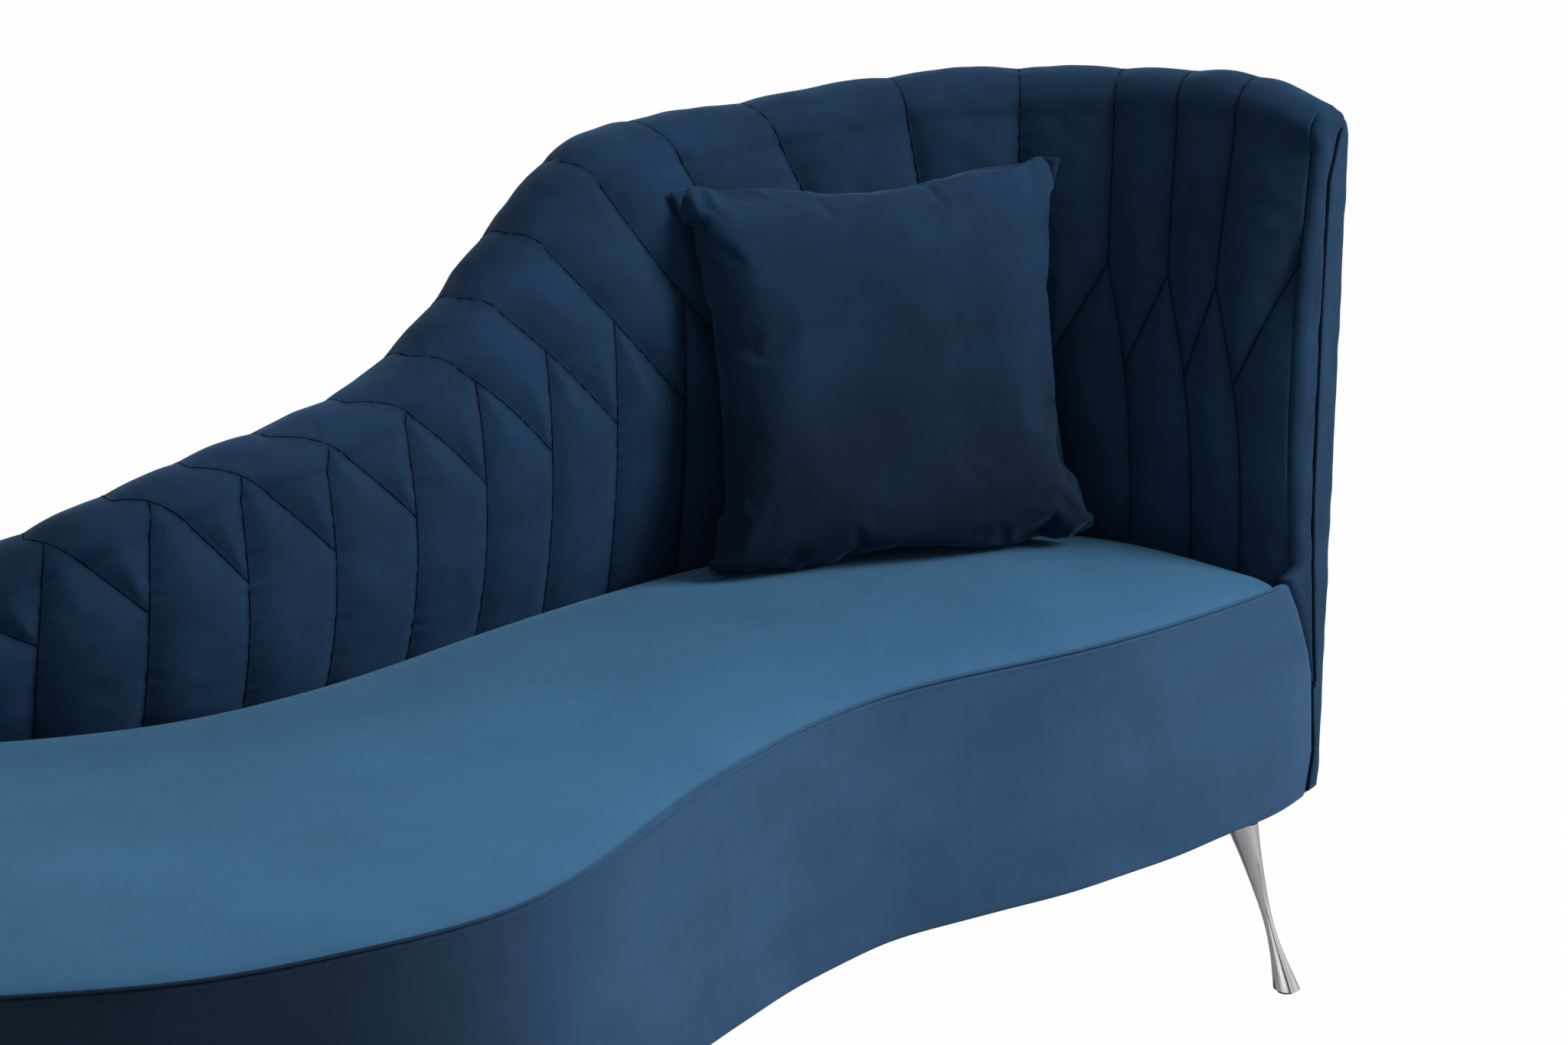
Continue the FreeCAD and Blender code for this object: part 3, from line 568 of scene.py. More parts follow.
def buildSeat():
    shape = seatShape
    knots = np.arange(len(shape["stations"]))
    shareFront, shareBack = [SmoothLine(knots, list(c)) for c in zip(*shape["stations"])]
    place = np.linspace(0, knots[-1], shape["sections"])
    s, u = shareFront(place) * frontLine.length, np.maximum(shareBack(place), 0) * wallEnd
    a = frontPoint(s, shape["inset"], 0.0)[:, :2]
    b = wallPoint(u, shape["backGap"], 0.0)[:, :2]
    full = np.minimum(1, np.linalg.norm(b - a, axis=1) * 1000 / shape["fullWidth"])[:, None]
    t = (1 - np.cos(np.linspace(0, math.pi, shape["across"]))) / 2
    power, root = shape["flatness"]
    dome = np.maximum(1 - np.abs(2 * t - 1) ** power, 0) ** root
    drop, reach = shape["backTuck"]
    z = plan["seamHeight"] + full * (shape["riseToBack"] * t + shape["crown"] * dome)
    z -= drop * np.clip((t - 1 + reach) / reach, 0, 1) ** 2
    flat = a[:, None] + (b - a)[:, None] * t[:, None]
    grid = np.concatenate([flat, z[..., None] / 1000], -1)
    grid[..., 2] += softNoise(grid, shape["wave"], 31) * shape["softness"] * dome * full / 1000
    low = grid[:, [-1, 0]].copy()
    low[..., 2] = shape["underside"] / 1000
    return ringBody("seatTop", np.concatenate([grid, low], 1))


seatTop = buildSeat()

# The plain front, its seam and stitching
fasciaShape = {
    "depth": 4.7, "start": 2.0, "spacing": 7.0, "turnUnder": 22.0, "edgeRound": 6.0,
    "edgeRows": 6, "rows": 64, "topRound": 5.0, "topInset": 1.2, "belly": 1.6, "softness": 1.0,
    "wave": 0.20, "calm": 60.0, "endRound": 9.0, "endInset": 3.0,
    "shortRise": [175, 180, 225, 314, 347, 397, 427, 440],
    "short": [32, 28, 18, 31, 45, 68, 87, 102],
}


# How far short of the outer corner the front ends at height z, drawn in over the arm
def fasciaShortAt(z):
    return np.interp(z, fasciaShape["shortRise"], fasciaShape["short"])


def buildFascia():
    shape = fasciaShape
    start, end = shape["start"], frontLine.length
    s = np.linspace(start, end, int((end - start) / shape["spacing"]))
    low, top, edge = plan["legHeight"], plan["seamHeight"] - plan["gap"], shape["edgeRound"]
    z = np.concatenate([low + edge * np.linspace(0, 1, shape["edgeRows"])[:-1],
                        np.linspace(low + edge, top, shape["rows"])])
    up = np.clip((z - low) / edge, 0, 1)
    inset = edge * (1 - np.sqrt(1 - (1 - up) ** 2)) * 0.5
    inset += shape["topInset"] * (1 - np.clip((top - z) / shape["topRound"], 0, 1)) ** 2
    along = start + (s[:, None] - start) * (end - fasciaShortAt(z) - start) / (end - start)
    calm = np.clip((top - z) / shape["calm"], 0, 1)
    soft = softNoise(frontPoint(along, inset, z), shape["wave"], 41) * shape["softness"] * calm
    soft += shape["belly"] * np.sin(np.clip((z - low) / (top - low), 0, 1) * math.pi)
    endInset = shape["endInset"] * np.clip(1 - (s[-1] - s) / shape["endRound"], 0, 1) ** 2
    grid = frontPoint(along, inset + endInset[:, None] - soft + 1.0, z)
    under, deep = shape["turnUnder"], shape["depth"]
    behind = [(-1, deep, top), (0, deep, low + 2.5), (0, under, low + 2.5), (0, under, low)]
    rest = np.stack([frontPoint(along[:, i], a, b) for i, a, b in behind], 1)
    return ringBody("frontFascia", np.concatenate([grid, rest], 1))


frontFascia = buildFascia()


# The raised seam along the seat's front edge, and the stitches below it
seamShape = {"radius": 1.7, "height": 431.0, "inward": 1.3, "start": 4.0, "short": 106.0,
             "around": 8, "points": 420}
stitchShape = {"drop": 6.0, "inward": 0.6795, "start": 8.0, "short": 110.0, "pitch": 4.6,
               "length": 3.0, "radius": 0.35, "around": 6,
               "ends": ((-0.5, 0.5), (-0.3, 1.0), (0.3, 1.0), (0.5, 0.5))}
upright = np.array([0, 0, 1.0])


def buildFrontSeam():
    s = np.linspace(seamShape["start"], frontLine.length - seamShape["short"], seamShape["points"])
    path = frontPoint(s, seamShape["inward"], seamShape["height"])
    radius = seamShape["radius"] / 1000
    return ringBody("frontSeam", tubeRings(path, radius, upright, seamShape["around"]))


def buildStitches():
    shape = stitchShape
    angle = np.linspace(0, 2 * math.pi, shape["around"], endpoint=False)[:, None]
    stitches = []
    for place in np.arange(shape["start"], frontLine.length - shape["short"], shape["pitch"]):
        outward = -np.append(frontLine.left(place), 0)
        ring = (outward * np.cos(angle) + upright * np.sin(angle)) * shape["radius"] / 1000
        stitches.append(np.array([
            frontPoint(place + shift * shape["length"], shape["inward"],
                       plan["seamHeight"] - shape["drop"]) + ring * size
            for shift, size in shape["ends"]]))
    return ringBodies("seamStitches", stitches)


frontSeam = buildFrontSeam()
seamStitches = buildStitches()
print("stage: seat, front and seams")

# The padded front edge of the arm: an inner roll and an outer strip with a seam between
armFront = {
    "depth": 8.0, "rollDepth": 11.0, "edge": 11.0, "innerEdge": 14.0, "softness": 0.5,
    "wave": 0.05, "creaseWidth": 4.0, "rows": 150, "across": 30, "leastWidth": 0.6,
    "rollLow": 302.0, "rollBelowRim": 5.0, "stripBelowRim": 16.0, "footRound": 50.0,
    "footInset": 4.0, "seatLevel": 440.0,
    "seamRise": [300, 360, 430, 515, 720, 845, 893, 912],
    "seamWidth": [26, 34, 42, 49, 50, 46, 28, 3],
    "seamEnds": (182.0, 896.0), "seamForward": 7.5, "seamRadius": 2.8,
}


def innerEdgeAt(u, z):
    place = np.full(np.shape(z), u)
    w, _ = padPlace(place, placeAtHeight(place, z))
    return np.where(z < plan["junction"], 0.0, w)


def outerEdgeAt(u, z):
    t, r, lean = thicknessAt(u), rollAt(u), leanAt(u)
    up = np.clip((z - rimAt(u) + r) / r, 0, 1)
    return (t + lean) / 2 + (t - lean) / 2 * np.sqrt(1 - up ** 2)


# The seam between roll and strip, or front and strip, as a distance outward at height z
def armSeamAt(z):
    width = np.interp(z, armFront["seamRise"], armFront["seamWidth"])
    besideFront = fasciaShortAt(z) + 4
    return thicknessAt(wallEnd) - np.where(z < armFront["seamRise"][0], besideFront, width)


def buildArmPiece(name, low, high, innerAt, outerAt, innerEdge, depth, creaseOutside):
    z = np.linspace(low, high, armFront["rows"])
    share = (1 - np.cos(np.linspace(0, math.pi, armFront["across"]))) / 2
    inner = innerAt(z)
    outer = np.maximum(outerAt(z), inner + armFront["leastWidth"])
    w = inner[:, None] + (outer - inner)[:, None] * share
    fromInner, fromOuter = w - inner[:, None], outer[:, None] - w
    fromEnds = np.minimum(z - low, high - z)[:, None] + 0.5
    side = np.minimum(innerEdge, 0.8 * (outer - inner) + 1)[:, None]
    near = np.minimum(np.minimum(fromOuter, fromEnds) / armFront["edge"], fromInner / side)
    dome = np.sqrt(np.maximum(1 - (1 - np.clip(near, 0, 1)) ** 2, 0))
    flatW = wallPoint(wallEnd - armFront["depth"], w, z[:, None])
    forward = dome * (depth + softNoise(flatW, armFront["wave"], 51) * armFront["softness"])
    piece = ringBody(name, flatW + armWay * forward[..., None] / 1000)
    # Painted shade along the seam between the roll and the strip
    fromSeam = fromOuter if creaseOutside else fromInner
    setMask(piece, np.exp(-(fromSeam / armFront["creaseWidth"]) ** 2))
    return piece


def stripOuterAt(z):
    up = np.clip((z - plan["legHeight"] - 1) / armFront["footRound"], 0, 1)
    return outerEdgeAt(wallEnd, z) - armFront["footInset"] * (1 - up) ** 2


def rollInnerAt(z):
    tucked = np.minimum(thicknessAt(wallEnd) - fasciaShortAt(z) - 6, armSeamAt(z) - 3)
    v = placeAtHeight(np.full(np.shape(z), wallEnd), z)
    fall = endFall(wallEnd, v) * 0.97
    return np.where(z < armFront["seatLevel"], tucked, innerEdgeAt(wallEnd, z) + fall)


def rollOuterAt(z):
    return np.minimum(armSeamAt(z), outerEdgeAt(wallEnd, z) - 4)


# The dark gap between the two: a thin dark cord in its bottom, a dark thing that paints the shade in
# the gap
def buildArmSeam():
    z = np.linspace(*armFront["seamEnds"], 200)
    path = wallPoint(wallEnd - armFront["depth"], armSeamAt(z), z)
    path += armWay * armFront["seamForward"] / 1000
    return ringBody("armSeam", tubeRings(path, armFront["seamRadius"] / 1000, upright, 8))


armWay = np.append(backLine.along(wallEnd), 0)
rimTop = float(rimAt(wallEnd))
armStrip = buildArmPiece(
    "armStrip", plan["legHeight"] + 1, rimTop - armFront["stripBelowRim"], armSeamAt,
    stripOuterAt, armFront["edge"], armFront["depth"], False)
armRoll = buildArmPiece(
    "armRoll", armFront["rollLow"], rimTop - armFront["rollBelowRim"], rollInnerAt,
    rollOuterAt, armFront["innerEdge"], armFront["rollDepth"], True)
armSeam = buildArmSeam()
print("stage: arm front")

# The low end of the backrest
tailShape = {"rows": 24, "across": 14, "foot": 4.0, "clear": 2.4, "edge": 12.0, "leastWidth": 0.6}


def buildTailCap():
    shape = tailShape
    high = float(rimAt(0.0)) - 1
    z = np.linspace(plan["seamHeight"] + shape["foot"], high, shape["rows"])
    inner = innerEdgeAt(0.0, z)
    outer = np.maximum(outerEdgeAt(0.0, z) - shape["clear"], inner + shape["leastWidth"])
    share = (1 - np.cos(np.linspace(0, math.pi, shape["across"]))) / 2
    w = inner[:, None] + (outer - inner)[:, None] * share
    edge = np.minimum(np.minimum(w - inner[:, None], outer[:, None] - w), (high - z)[:, None] + 0.5)
    dome = np.sqrt(np.maximum(1 - (1 - np.clip(edge / shape["edge"], 0, 1)) ** 2, 0))
    flatW = wallPoint(plan["tailCap"], w, z[:, None])
    run = np.append(backLine.along(0.0), 0)
    grid = flatW - run * ((1 + (plan["tailCap"] - 1) * dome) / 1000)[..., None]
    behind = np.stack([flatW[:, -1], flatW[:, 0]], 1)
    return ringBody("tailCap", np.concatenate([grid, behind], 1))


tailCap = buildTailCap()

# The loose pillow
pillowShape = {
    "width": 446.0, "height": 400.0, "thickness": 112.0, "flatThickness": 30.0,
    "lean": 14.0, "turn": -8.0, "tilt": 0.9, "x": 480.0, "y": 209.0, "lift": 25.0,
    "across": 84, "fullness": 0.42, "draw": 0.075, "cutDraw": 0.05, "merge": 0.0002,
    "foldHeight": 3.0, "foldPace": 34.0, "puckerHeight": 2.2, "puckerWave": 0.035,
    "lumpHeight": 2.0, "lumpWave": 0.16, "cutSoftness": 0.3, "steps": 24,
    "earStart": 0.7, "earTrim": 0.035, "sideDraw": 15.0, "sag": 28.0, "sagReach": 0.16,
    "clearance": 0.6, "forward": (-0.12, -0.99, 0),
}
clothSettings = {
    "quality": 6, "mass": 0.3, "use_pressure": True, "uniform_pressure_force": 4.0,
    "tension_stiffness": 30, "compression_stiffness": 30, "shear_stiffness": 10,
    "bending_stiffness": 0.15,
}


def buildPillow(filled):
    shape = pillowShape
    n = shape["across"]
    line = np.linspace(-1, 1, n)
    a, b = np.meshgrid(line, line, indexing="ij")
    draw = shape["cutDraw" if filled else "draw"]
    x = shape["width"] / 2 * a * (1 - draw * (1 - b ** 2) * np.abs(a) ** 1.5)
    y = shape["height"] / 2 * b * (1 - draw * (1 - a ** 2) * np.abs(b) ** 1.5)
    body = ((1 - a ** 2) * (1 - b ** 2)) ** shape["fullness"]
    z = shape["flatThickness" if filled else "thickness"] / 2 * body
    front, rear = np.stack([x, y, z], -1), np.stack([x, y, -z], -1)
    spot = front / 1000
    corner = np.clip((np.abs(a) + np.abs(b) - 1.1) / 0.9, 0, 1)
    turn = (np.abs(a) - np.abs(b)) * shape["foldPace"] + 1.5 * softNoise(spot, 0.08, 3)
    fold = np.sin(turn) * corner * (1 - corner)
    edge = np.minimum(1 - np.abs(a), 1 - np.abs(b))
    around = np.where(np.abs(a) > np.abs(b), y, x) / 1000
    pucker = lineNoise(around, shape["puckerWave"], 9) * np.exp(-edge / 0.12)
    soft = (shape["foldHeight"] * fold
            + shape["puckerHeight"] * pucker * np.clip(edge / 0.03, 0, 1)
            + shape["lumpHeight"] * softNoise(spot, shape["lumpWave"], 12) * body)
    soft = soft * (shape["cutSoftness"] if filled else 1)
    front[..., 2] += soft * np.clip(edge / 0.05, 0, 1)
    rear[..., 2] -= soft[::-1] * np.clip(edge / 0.05, 0, 1)
    points = np.concatenate([front.reshape(-1, 3), rear.reshape(-1, 3)])
    faces = gridFaces(n, n) + gridFaces(n, n, flip=True, start=n * n)
    return addMesh("pillow", points / 1000, faces, turn=False, merge=shape["merge"])


def keepResult(piece):
    graph = bpy.context.evaluated_depsgraph_get()
    result = bpy.data.meshes.new_from_object(piece.evaluated_get(graph))
    piece.modifiers.clear()
    piece.data = result
    return result


# Blows the flat cover up as cloth, so that its edges draw in and pucker, then fits its size
def fillPillow(piece):
    shape = pillowShape
    cloth = piece.modifiers.new("filling", "CLOTH").settings
    for key, value in clothSettings.items():
        setattr(cloth, key, value)
    cloth.effector_weights.gravity = 0
    for frameNumber in range(1, shape["steps"] + 1):
        scene.frame_set(frameNumber)
    filled = keepResult(piece)
    scene.frame_set(1)
    points = np.array([v.co for v in filled.vertices])
    low, high = points.min(0), points.max(0)
    goal = np.array([shape[k] for k in ("width", "height", "thickness")]) / 1000
    print("stage: pillow filled", ((high - low) * 1000).round(1))
    points = (points - (low + high) / 2) * goal / (high - low)
    filled.vertices.foreach_set("co", points.ravel())
    smooth = piece.modifiers.new("smooth", "SUBSURF")
    smooth.levels = smooth.render_levels = 1
    final = keepResult(piece)
    # Shorter corners, sides that draw in, and a lower edge that sags onto the seat
    for vertex in final.vertices:
        x, level = vertex.co.x / goal[0] * 2, vertex.co.y / goal[1] * 2
        ear = min(max((abs(x * level) - shape["earStart"]) / (1 - shape["earStart"]), 0), 1)
        vertex.co.xy *= 1 - shape["earTrim"] * ear
        vertex.co.x -= x * shape["sideDraw"] / 1000 * max(0, 1 - level * level)
        fromFoot = (level + 1) / 2 / shape["sagReach"]
        vertex.co.y -= shape["sag"] / 1000 * max(0, 1 - x * x) * math.exp(-fromFoot)
    final.polygons.foreach_set("use_smooth", [True] * len(final.polygons))


def placePillow(piece):
    shape = pillowShape
    turn = (Matrix.Rotation(math.radians(shape["turn"]), 4, "Z")
            @ Matrix.Rotation(math.radians(90 - shape["lean"]), 4, "X")
            @ Matrix.Translation((0, shape["height"] / 2000, 0))
            @ Matrix.Rotation(math.radians(shape["tilt"]), 4, "Z"))
    spot = Vector((shape["x"] - planMiddle[0], shape["y"] - planMiddle[1],
                   plan["junction"] + shape["lift"])) / 1000
    piece.data.transform(Matrix.Translation(spot) @ turn)


# Lifts what would sink into the seat, and draws forward what would sink into the backrest
def settlePillow(piece):
    gap = pillowShape["clearance"] / 1000
    seat, back = [bvhtree.BVHTree.FromPolygons([v.co for v in m.data.vertices],
                                               [q.vertices for q in m.data.polygons])
                  for m in (seatTop, insideBack)]
    forward = Vector(pillowShape["forward"]).normalized()
    above, ahead = Vector((0, 0, 0.3)), 0.25
    for vertex in piece.data.vertices:
        down = seat.ray_cast(vertex.co + above, -above)[0]
        if down is not None and vertex.co.z < down.z + gap:
            vertex.co.z = down.z + gap
        behind = back.ray_cast(vertex.co + forward * ahead, -forward, ahead + gap)[0]
        if behind is not None:
            vertex.co = behind + forward * gap


pillow = buildPillow(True)
fillPillow(pillow)
placePillow(pillow)
settlePillow(pillow)
print("stage: pillow")


# Shader maths as expressions: a wire is a node's output, and sums on it add Math nodes
class Wire:
    def __init__(self, maker, socket):
        self.maker, self.socket = maker, socket

    def __add__(self, other):
        return self.maker.node("ShaderNodeMath", {"operation": "ADD"}, {0: self, 1: other})

    def __mul__(self, other):
        return self.maker.node("ShaderNodeMath", {"operation": "MULTIPLY"}, {0: self, 1: other})

    __radd__ = __add__
    __rmul__ = __mul__


# A node tree, with one method that makes a node, sets it up and plugs its sockets
class Graph:
    def __init__(self, tree):
        self.tree = tree

    def node(self, kind, settings, sockets, out=0):
        made = self.tree.nodes.new(kind)
        for key, value in settings.items():
            if key == "stops":
                stops = made.color_ramp.elements
                stops.remove(stops[-1])
                stops[0].position, stops[0].color = value[0][0], (*value[0][1], 1)
                for place, color in value[1:]:
                    stops.new(place).color = (*color, 1)
            else:
                setattr(made, key, value)
        for key, value in sockets.items():
            self.plug(made.inputs[key], value)
        return Wire(self, made.outputs[out])

    def plug(self, socket, value):
        if isinstance(value, Wire):
            self.tree.links.new(value.socket, socket)
        elif isinstance(value, tuple) and len(value) == 3 and len(socket.default_value) == 4:
            socket.default_value = (*value, 1)
        else:
            socket.default_value = value

    def noise(self, size, detail=2.0, roughness=0.5, stretch=(1, 1, 1)):
        where = self.node("ShaderNodeTexCoord", {}, {}, out="Object")
        where = self.node("ShaderNodeMapping", {}, {"Vector": where, "Scale": stretch})
        return self.node("ShaderNodeTexNoise", {}, {
            "Vector": where, "Scale": 1 / size, "Detail": detail, "Roughness": roughness})

    def ramp(self, value, stops):
        return self.node("ShaderNodeValToRGB", {"stops": stops}, {"Fac": value})

    def blend(self, share, one, two, way="MIX"):
        return self.node("ShaderNodeMix", {"data_type": "RGBA", "blend_type": way}, {
            0: share, 6: one, 7: two}, out=2)

    def bump(self, height, strength, distance, under=None):
        sockets = {"Height": height, "Strength": strength, "Distance": distance}
        if under is not None:
            sockets["Normal"] = under
        return self.node("ShaderNodeBump", {}, sockets)


class Finish(Graph):
    def __init__(self, name):
        self.material = bpy.data.materials.new(name)
        self.material.use_nodes = True
        super().__init__(self.material.node_tree)
        self.shader = self.tree.nodes["Principled BSDF"]
        self.output = self.tree.nodes["Material Output"]

    def set(self, **values):
        for key, value in values.items():
            self.plug(self.shader.inputs[key.replace("_", " ")], value)


# Velvet: short pile with a faint nap, with painted shade in the seams. The pieces wear lighter and
# darker copies of one velvet, painted light and shade for how the light falls on each of them. A turn
# is a painted gradient from shade to light along an axis: the axis, where it starts and ends in
# metres, and the two levels
velvets = {
    # the lightest copy: painted light on the seat's top, lit from above
    "seatVelvet": {
        "color": (0.043, 0.130, 0.240), "shade": (0.036, 0.114, 0.216), "sheen": 0.35,
        "sheenTint": (0.22, 0.50, 0.78)},
    # the front's copy: painted shade towards its left end, which the light reaches less, and a little
    # painted light to the right
    "frontVelvet": {
        "color": (0.031, 0.080, 0.158), "shade": (0.024, 0.064, 0.130), "sheen": 0.35,
        "sheenTint": (0.22, 0.46, 0.78), "turn": ("X", -0.42, -0.05, 0.3, 1.1)},
    # a darker copy: painted shade on the backrest
    "backVelvet": {
        "color": (0.011, 0.037, 0.082), "shade": (0.007, 0.025, 0.058), "sheen": 0.30,
        "sheenTint": (0.10, 0.32, 0.62)},
    # a lighter copy for the arm's front strip, with painted sheen where the light grazes it
    "armVelvet": {
        "color": (0.015, 0.046, 0.094), "shade": (0.011, 0.035, 0.075), "sheen": 0.35,
        "sheenTint": (0.18, 0.42, 0.70)},
    # the pillow's copy, darker, with painted light towards its top and painted shade low down
    "pillowVelvet": {
        "color": (0.008, 0.027, 0.060), "shade": (0.005, 0.018, 0.042), "sheen": 0.30,
        "sheenTint": (0.12, 0.34, 0.60), "turn": ("Z", 0.48, 0.86, 0.55, 1.45)},
}


def makeVelvet(name):
    look = velvets[name]
    f = Finish(name)
    nap = f.ramp(f.noise(0.13, 3.0, 0.6, (1, 1, 1.6)), [(0.36, (0, 0, 0)), (0.66, (1, 1, 1))])
    brushed = f.ramp(f.noise(0.012, 4.0, 0.65, (1, 1, 0.35)), [(0.30, (0, 0, 0)), (0.75, (1, 1, 1))])
    color = f.blend(nap, look["shade"], look["color"])
    color = f.blend(brushed * 0.16, color, tuple(c * 1.5 for c in look["color"]))
    # Painted light and shade: the colour is scaled from a darker level to a lighter one along the
    # turn's axis
    if "turn" in look:
        axis, start, end, low, high = look["turn"]
        where = f.node("ShaderNodeTexCoord", {}, {}, out="Object")
        along = f.node("ShaderNodeSeparateXYZ", {}, {0: where}, out=axis)
        level = f.node("ShaderNodeMapRange", {"interpolation_type": "SMOOTHSTEP"}, {
            "Value": along, "From Min": start, "From Max": end, "To Min": low, "To Max": high})
        color = f.node("ShaderNodeVectorMath", {"operation": "SCALE"}, {0: color, "Scale": level})
    # Painted shade in the seams: the colour darkens towards a dark copy of the shade colour where the
    # mask is high
    crease = f.node("ShaderNodeAttribute", {"attribute_name": "crease"}, {}, out="Fac")
    color = f.blend(crease * 0.4, color, tuple(c * 0.3 for c in look["shade"]))
    pile = f.noise(0.0012, 2.0, 0.7)
    normal = f.bump(pile, 0.25, 0.0006)
    normal = f.bump(f.noise(0.03, 3.0, 0.6), 0.12, 0.004, normal)
    f.set(Base_Color=color, Roughness=0.86 + 0.08 * nap, Normal=normal)
    f.set(Sheen_Weight=look["sheen"], Sheen_Roughness=0.35, Sheen_Tint=look["sheenTint"],
          Specular_IOR_Level=0.12)
    return f.material


def makePlain(name, one, two, size, roughness, metallic=0.0, bump=0.1, bumpSize=0.001,
              stretch=(1, 1, 1), specular=0.4):
    f = Finish(name)
    grain = f.noise(size, 4.0, 0.6, stretch)
    color = f.blend(f.ramp(grain, [(0.3, (0, 0, 0)), (0.7, (1, 1, 1))]), one, two)
    f.set(Base_Color=color, Roughness=roughness - 0.05 + 0.1 * grain, Metallic=metallic,
          Specular_IOR_Level=specular,
          Normal=f.bump(f.noise(bumpSize, 3.0, 0.6, stretch), bump, bumpSize / 2))
    return f.material


# The other materials: two colours, the size of their grain in metres, and roughness
plains = {
    "chrome": {"one": (0.62, 0.62, 0.63), "two": (0.70, 0.70, 0.71), "size": 0.03,
        "roughness": 0.10, "metallic": 1.0, "bump": 0.01},
    "glideRubber": {"one": (0.012, 0.012, 0.012), "two": (0.02, 0.02, 0.02), "size": 0.004,
        "roughness": 0.7},
    "beech": {"one": (0.52, 0.36, 0.21), "two": (0.66, 0.50, 0.32), "size": 0.02,
        "roughness": 0.6, "bump": 0.2, "bumpSize": 0.002, "stretch": (1, 1, 6)},
    "pressedBoard": {"one": (0.40, 0.28, 0.17), "two": (0.52, 0.38, 0.24), "size": 0.003,
        "roughness": 0.8},
    "zincSteel": {"one": (0.50, 0.50, 0.50), "two": (0.62, 0.62, 0.60), "size": 0.01,
        "roughness": 0.38, "metallic": 1.0},
    "webbingCloth": {"one": (0.03, 0.03, 0.03), "two": (0.10, 0.10, 0.09), "size": 0.003,
        "roughness": 0.9, "bump": 0.4, "bumpSize": 0.002},
    # dark sewing thread for the backrest's seams, also the cord that paints the shade in the arm's
    # seam gap
    "threadAndGapShade": {"one": (0.002, 0.007, 0.018), "two": (0.003, 0.009, 0.023),
        "size": 0.004, "roughness": 0.95, "specular": 0.03},
    "dustCloth": {"one": (0.012, 0.012, 0.013), "two": (0.025, 0.025, 0.026), "size": 0.004,
        "roughness": 0.95, "bump": 0.3},
}
finishes = {name: makeVelvet(name) for name in velvets}
finishes.update({name: makePlain(name, **look) for name, look in plains.items()})


def dress(piece, finish):
    piece.data.materials.clear()
    piece.data.materials.append(finishes[finish])


nodeFinishes = {
    "chrome": ["leg_front_head", "leg_front_foot", "leg_rear_foot", "leg_rear_head"],
    "glideRubber": ["glide_front_head", "glide_front_foot", "glide_rear_foot", "glide_rear_head"],
    "zincSteel": ["leg_mounting_plates", "leg_studs", "plate_screws"],
    "beech": ["leg_blocks", "front_rail", "rear_rail", "cross_beams", "back_posts", "arm_post",
              "back_top_rail"],
    "pressedBoard": ["back_lining", "outer_back_board"],
    "webbingCloth": ["seat_webbing"],
    "dustCloth": ["dust_cover", "seat_deck"],
}
for finish, nodeNames in nodeFinishes.items():
    for nodeName in nodeNames:
        dress(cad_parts[nodeName], finish)

# Which CAD nodes each piece stands for, and the body it moves with
standIns = [
    (insideBack, "backVelvet", "chaise", "back_velvet", 0.7, ["inside_back_pad", "back_foam"]),
    (outsideBack, "backVelvet", "chaise", "back_velvet", 0.9,
     ["outside_back_cover", "outer_wadding"]),
    (seatTop, "seatVelvet", "chaise", "seat_velvet", 0.9, ["seat_cover", "seat_foam"]),
    (frontFascia, "frontVelvet", "chaise", "fascia_velvet", 0.9,
     ["fascia_cover", "fascia_padding"]),
    (frontSeam, "frontVelvet", "chaise", "seat_velvet", None, ["front_welt"]),
    (seamStitches, "frontVelvet", "chaise", "fascia_velvet", None, []),
    (backThreads, "threadAndGapShade", "chaise", "back_velvet", None, []),
    # the arm seam's cord: painted shade in the gap between roll and strip
    (armSeam, "threadAndGapShade", "chaise", "back_velvet", None, []),
    # the arm's roll wears the darker backrest copy, the strip the lighter one: painted shade and
    # painted sheen
    (armRoll, "backVelvet", "chaise", "back_velvet", 0.8, ["arm_front_roll"]),
    (armStrip, "armVelvet", "chaise", "back_velvet", 0.8, ["arm_front_strip"]),
    (tailCap, "backVelvet", "chaise", "back_velvet", 0.8, ["tail_end_cap"]),
    (pillow, "pillowVelvet", "pillow", "pillow_velvet", 0.7, ["pillow_cover", "pillow_filling"]),
]
for piece, finish, body, slotName, fill, nodeNames in standIns:
    dress(piece, finish)
    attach(piece, body)
    if nodeNames:
        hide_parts(*nodeNames)
print("stage: materials")

# A pale floor that is white in the picture and keeps a soft shadow
floorCorners = [(-30, -30, 0), (30, -30, 0), (30, 30, 0), (-30, 30, 0)]
floor = addMesh("floor", floorCorners, [[0, 1, 2, 3]], turn=False)
floorFinish = Finish("paleFloor")
floorFinish.set(Base_Color=(0.42, 0.42, 0.43), Roughness=0.9, Specular_IOR_Level=0.1)
ray = floorFinish.node("ShaderNodeLightPath", {}, {}, out="Is Camera Ray")
glow = floorFinish.node("ShaderNodeEmission", {}, {"Color": (1, 1, 1), "Strength": 1.0})
mixed = floorFinish.node("ShaderNodeMixShader", {}, {
    0: ray * 0.985, 1: Wire(floorFinish, floorFinish.shader.outputs[0]), 2: glow})
floorFinish.plug(floorFinish.output.inputs["Surface"], mixed)
floor.data.materials.append(floorFinish.material)

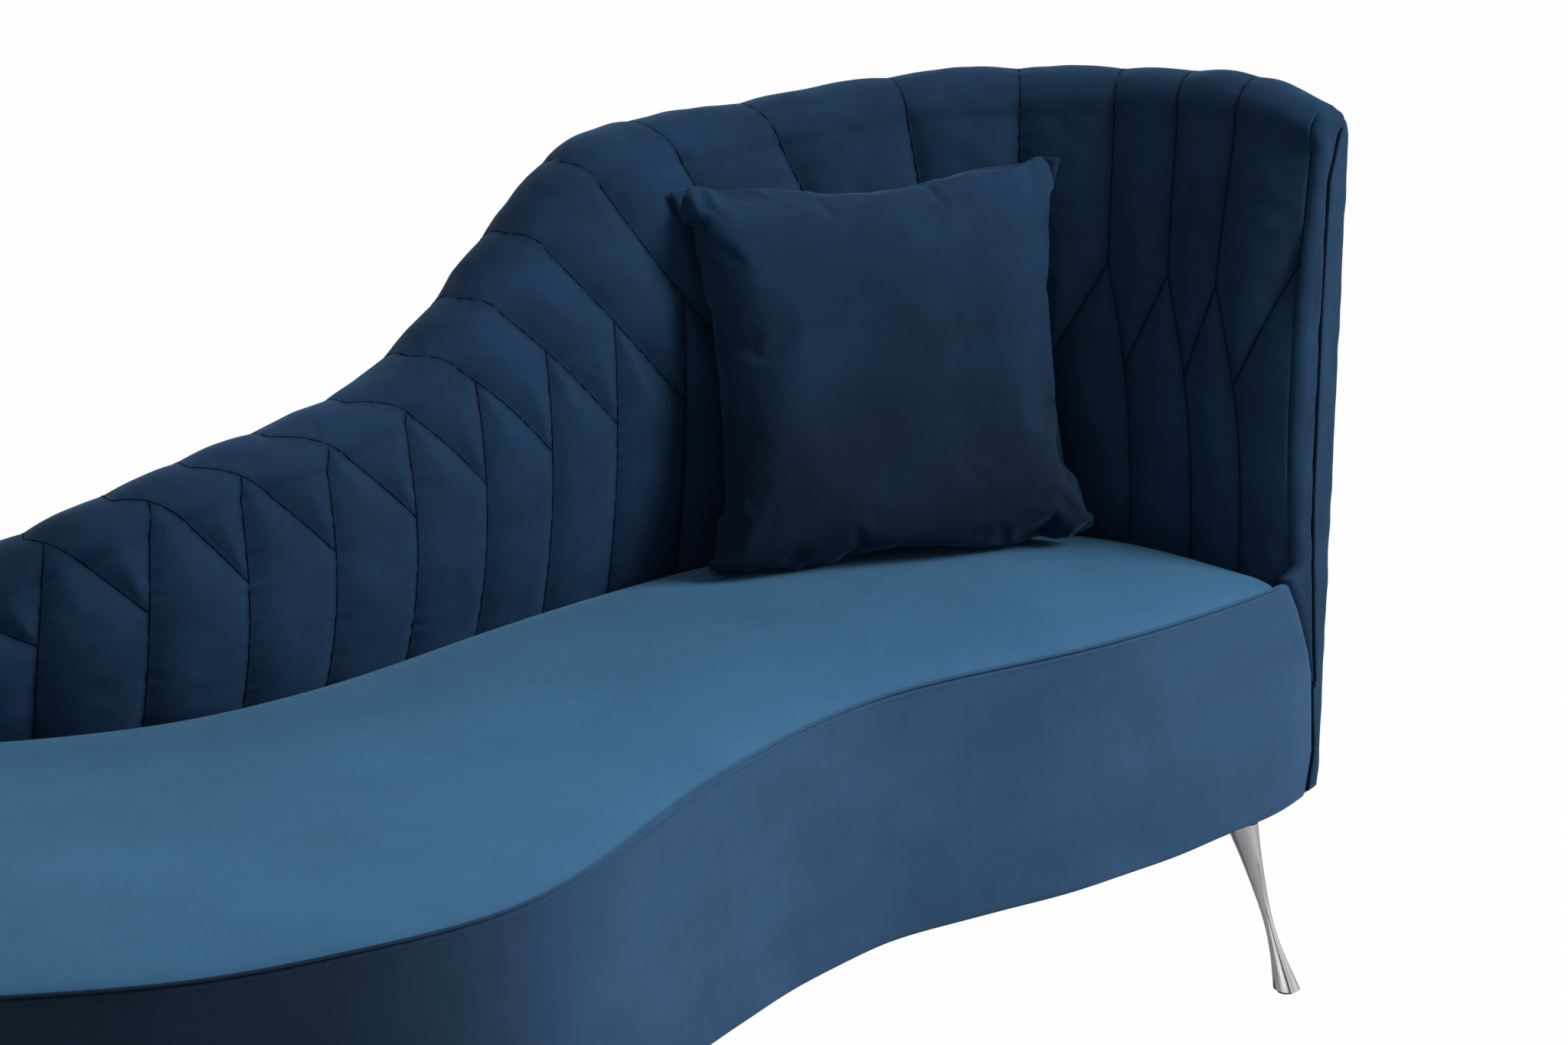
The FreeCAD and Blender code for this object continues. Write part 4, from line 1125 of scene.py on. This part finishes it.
# The room: white where the camera looks, a soft sky for light, and bright panels with dark
# gaps between them, turning round the room, for shiny parts to mirror
room = {
    "skyStrength": 0.42,
    "sky": [(0.0, (0.16, 0.16, 0.17)), (1.0, (1, 1, 1))],
    "panels": [(0.0, 0.10), (0.12, 0.75), (0.36, 1.0), (0.52, 0.9), (0.60, 0.12), (0.68, 0.10),
               (0.76, 0.8), (0.92, 0.6), (1.0, 1.0)],
}
world = bpy.data.worlds.new("studio")
scene.world = world
world.use_nodes = True
studio = Graph(world.node_tree)
sky = studio.tree.nodes["Background"]
toCamera = studio.node("ShaderNodeLightPath", {}, {}, out="Is Camera Ray")
toMirror = studio.node("ShaderNodeLightPath", {}, {}, out="Is Glossy Ray")
direction = studio.node("ShaderNodeTexCoord", {}, {}, out="Generated")
upward = studio.node("ShaderNodeSeparateXYZ", {}, {0: direction}, out="Z")
aside = studio.node("ShaderNodeVectorMath", {"operation": "DOT_PRODUCT"}, {
    0: direction, 1: (math.cos(heading), -math.sin(heading), 0)}, out="Value")
panels = studio.ramp(aside * 0.5 + 0.5, [(place, (g, g, g)) for place, g in room["panels"]])
studio.plug(sky.inputs["Color"], studio.ramp(upward, room["sky"]))
studio.plug(sky.inputs["Strength"], room["skyStrength"])
shown = studio.node("ShaderNodeBackground", {}, {
    "Color": studio.blend(toMirror, (1, 1, 1), panels), "Strength": 1.0})
either = studio.node("ShaderNodeMath", {"operation": "MAXIMUM"}, {0: toCamera, 1: toMirror})
mixed = studio.node("ShaderNodeMixShader", {}, {
    0: either, 1: Wire(studio, sky.outputs[0]), 2: shown})
studio.plug(studio.tree.nodes["World Output"].inputs["Surface"], mixed)

lamps = {
    "keyPanel": {"place": (3.7, -2.5, 3.5), "aim": (0.1, 0.0, 0.45), "size": 2.2, "power": 270},
    "fillPanel": {"place": (-3.4, -2.6, 2.6), "aim": (0, 0.0, 0.45), "size": 2.6, "power": 15},
    "rearPanel": {"place": (0.5, 3.6, 3.2), "aim": (0, 0.2, 0.6), "size": 2.6, "power": 60},
}
for name, lamp in lamps.items():
    data = bpy.data.lights.new(name, "AREA")
    data.shape, data.size, data.energy = "SQUARE", lamp["size"], lamp["power"]
    lampObject = bpy.data.objects.new(name, data)
    scene.collection.objects.link(lampObject)
    lampObject.location = lamp["place"]
    aim = Vector(lamp["aim"]) - Vector(lamp["place"])
    lampObject.rotation_euler = aim.to_track_quat("-Z", "Y").to_euler()
scene.view_settings.view_transform = "Standard"
print("stage: floor and light")
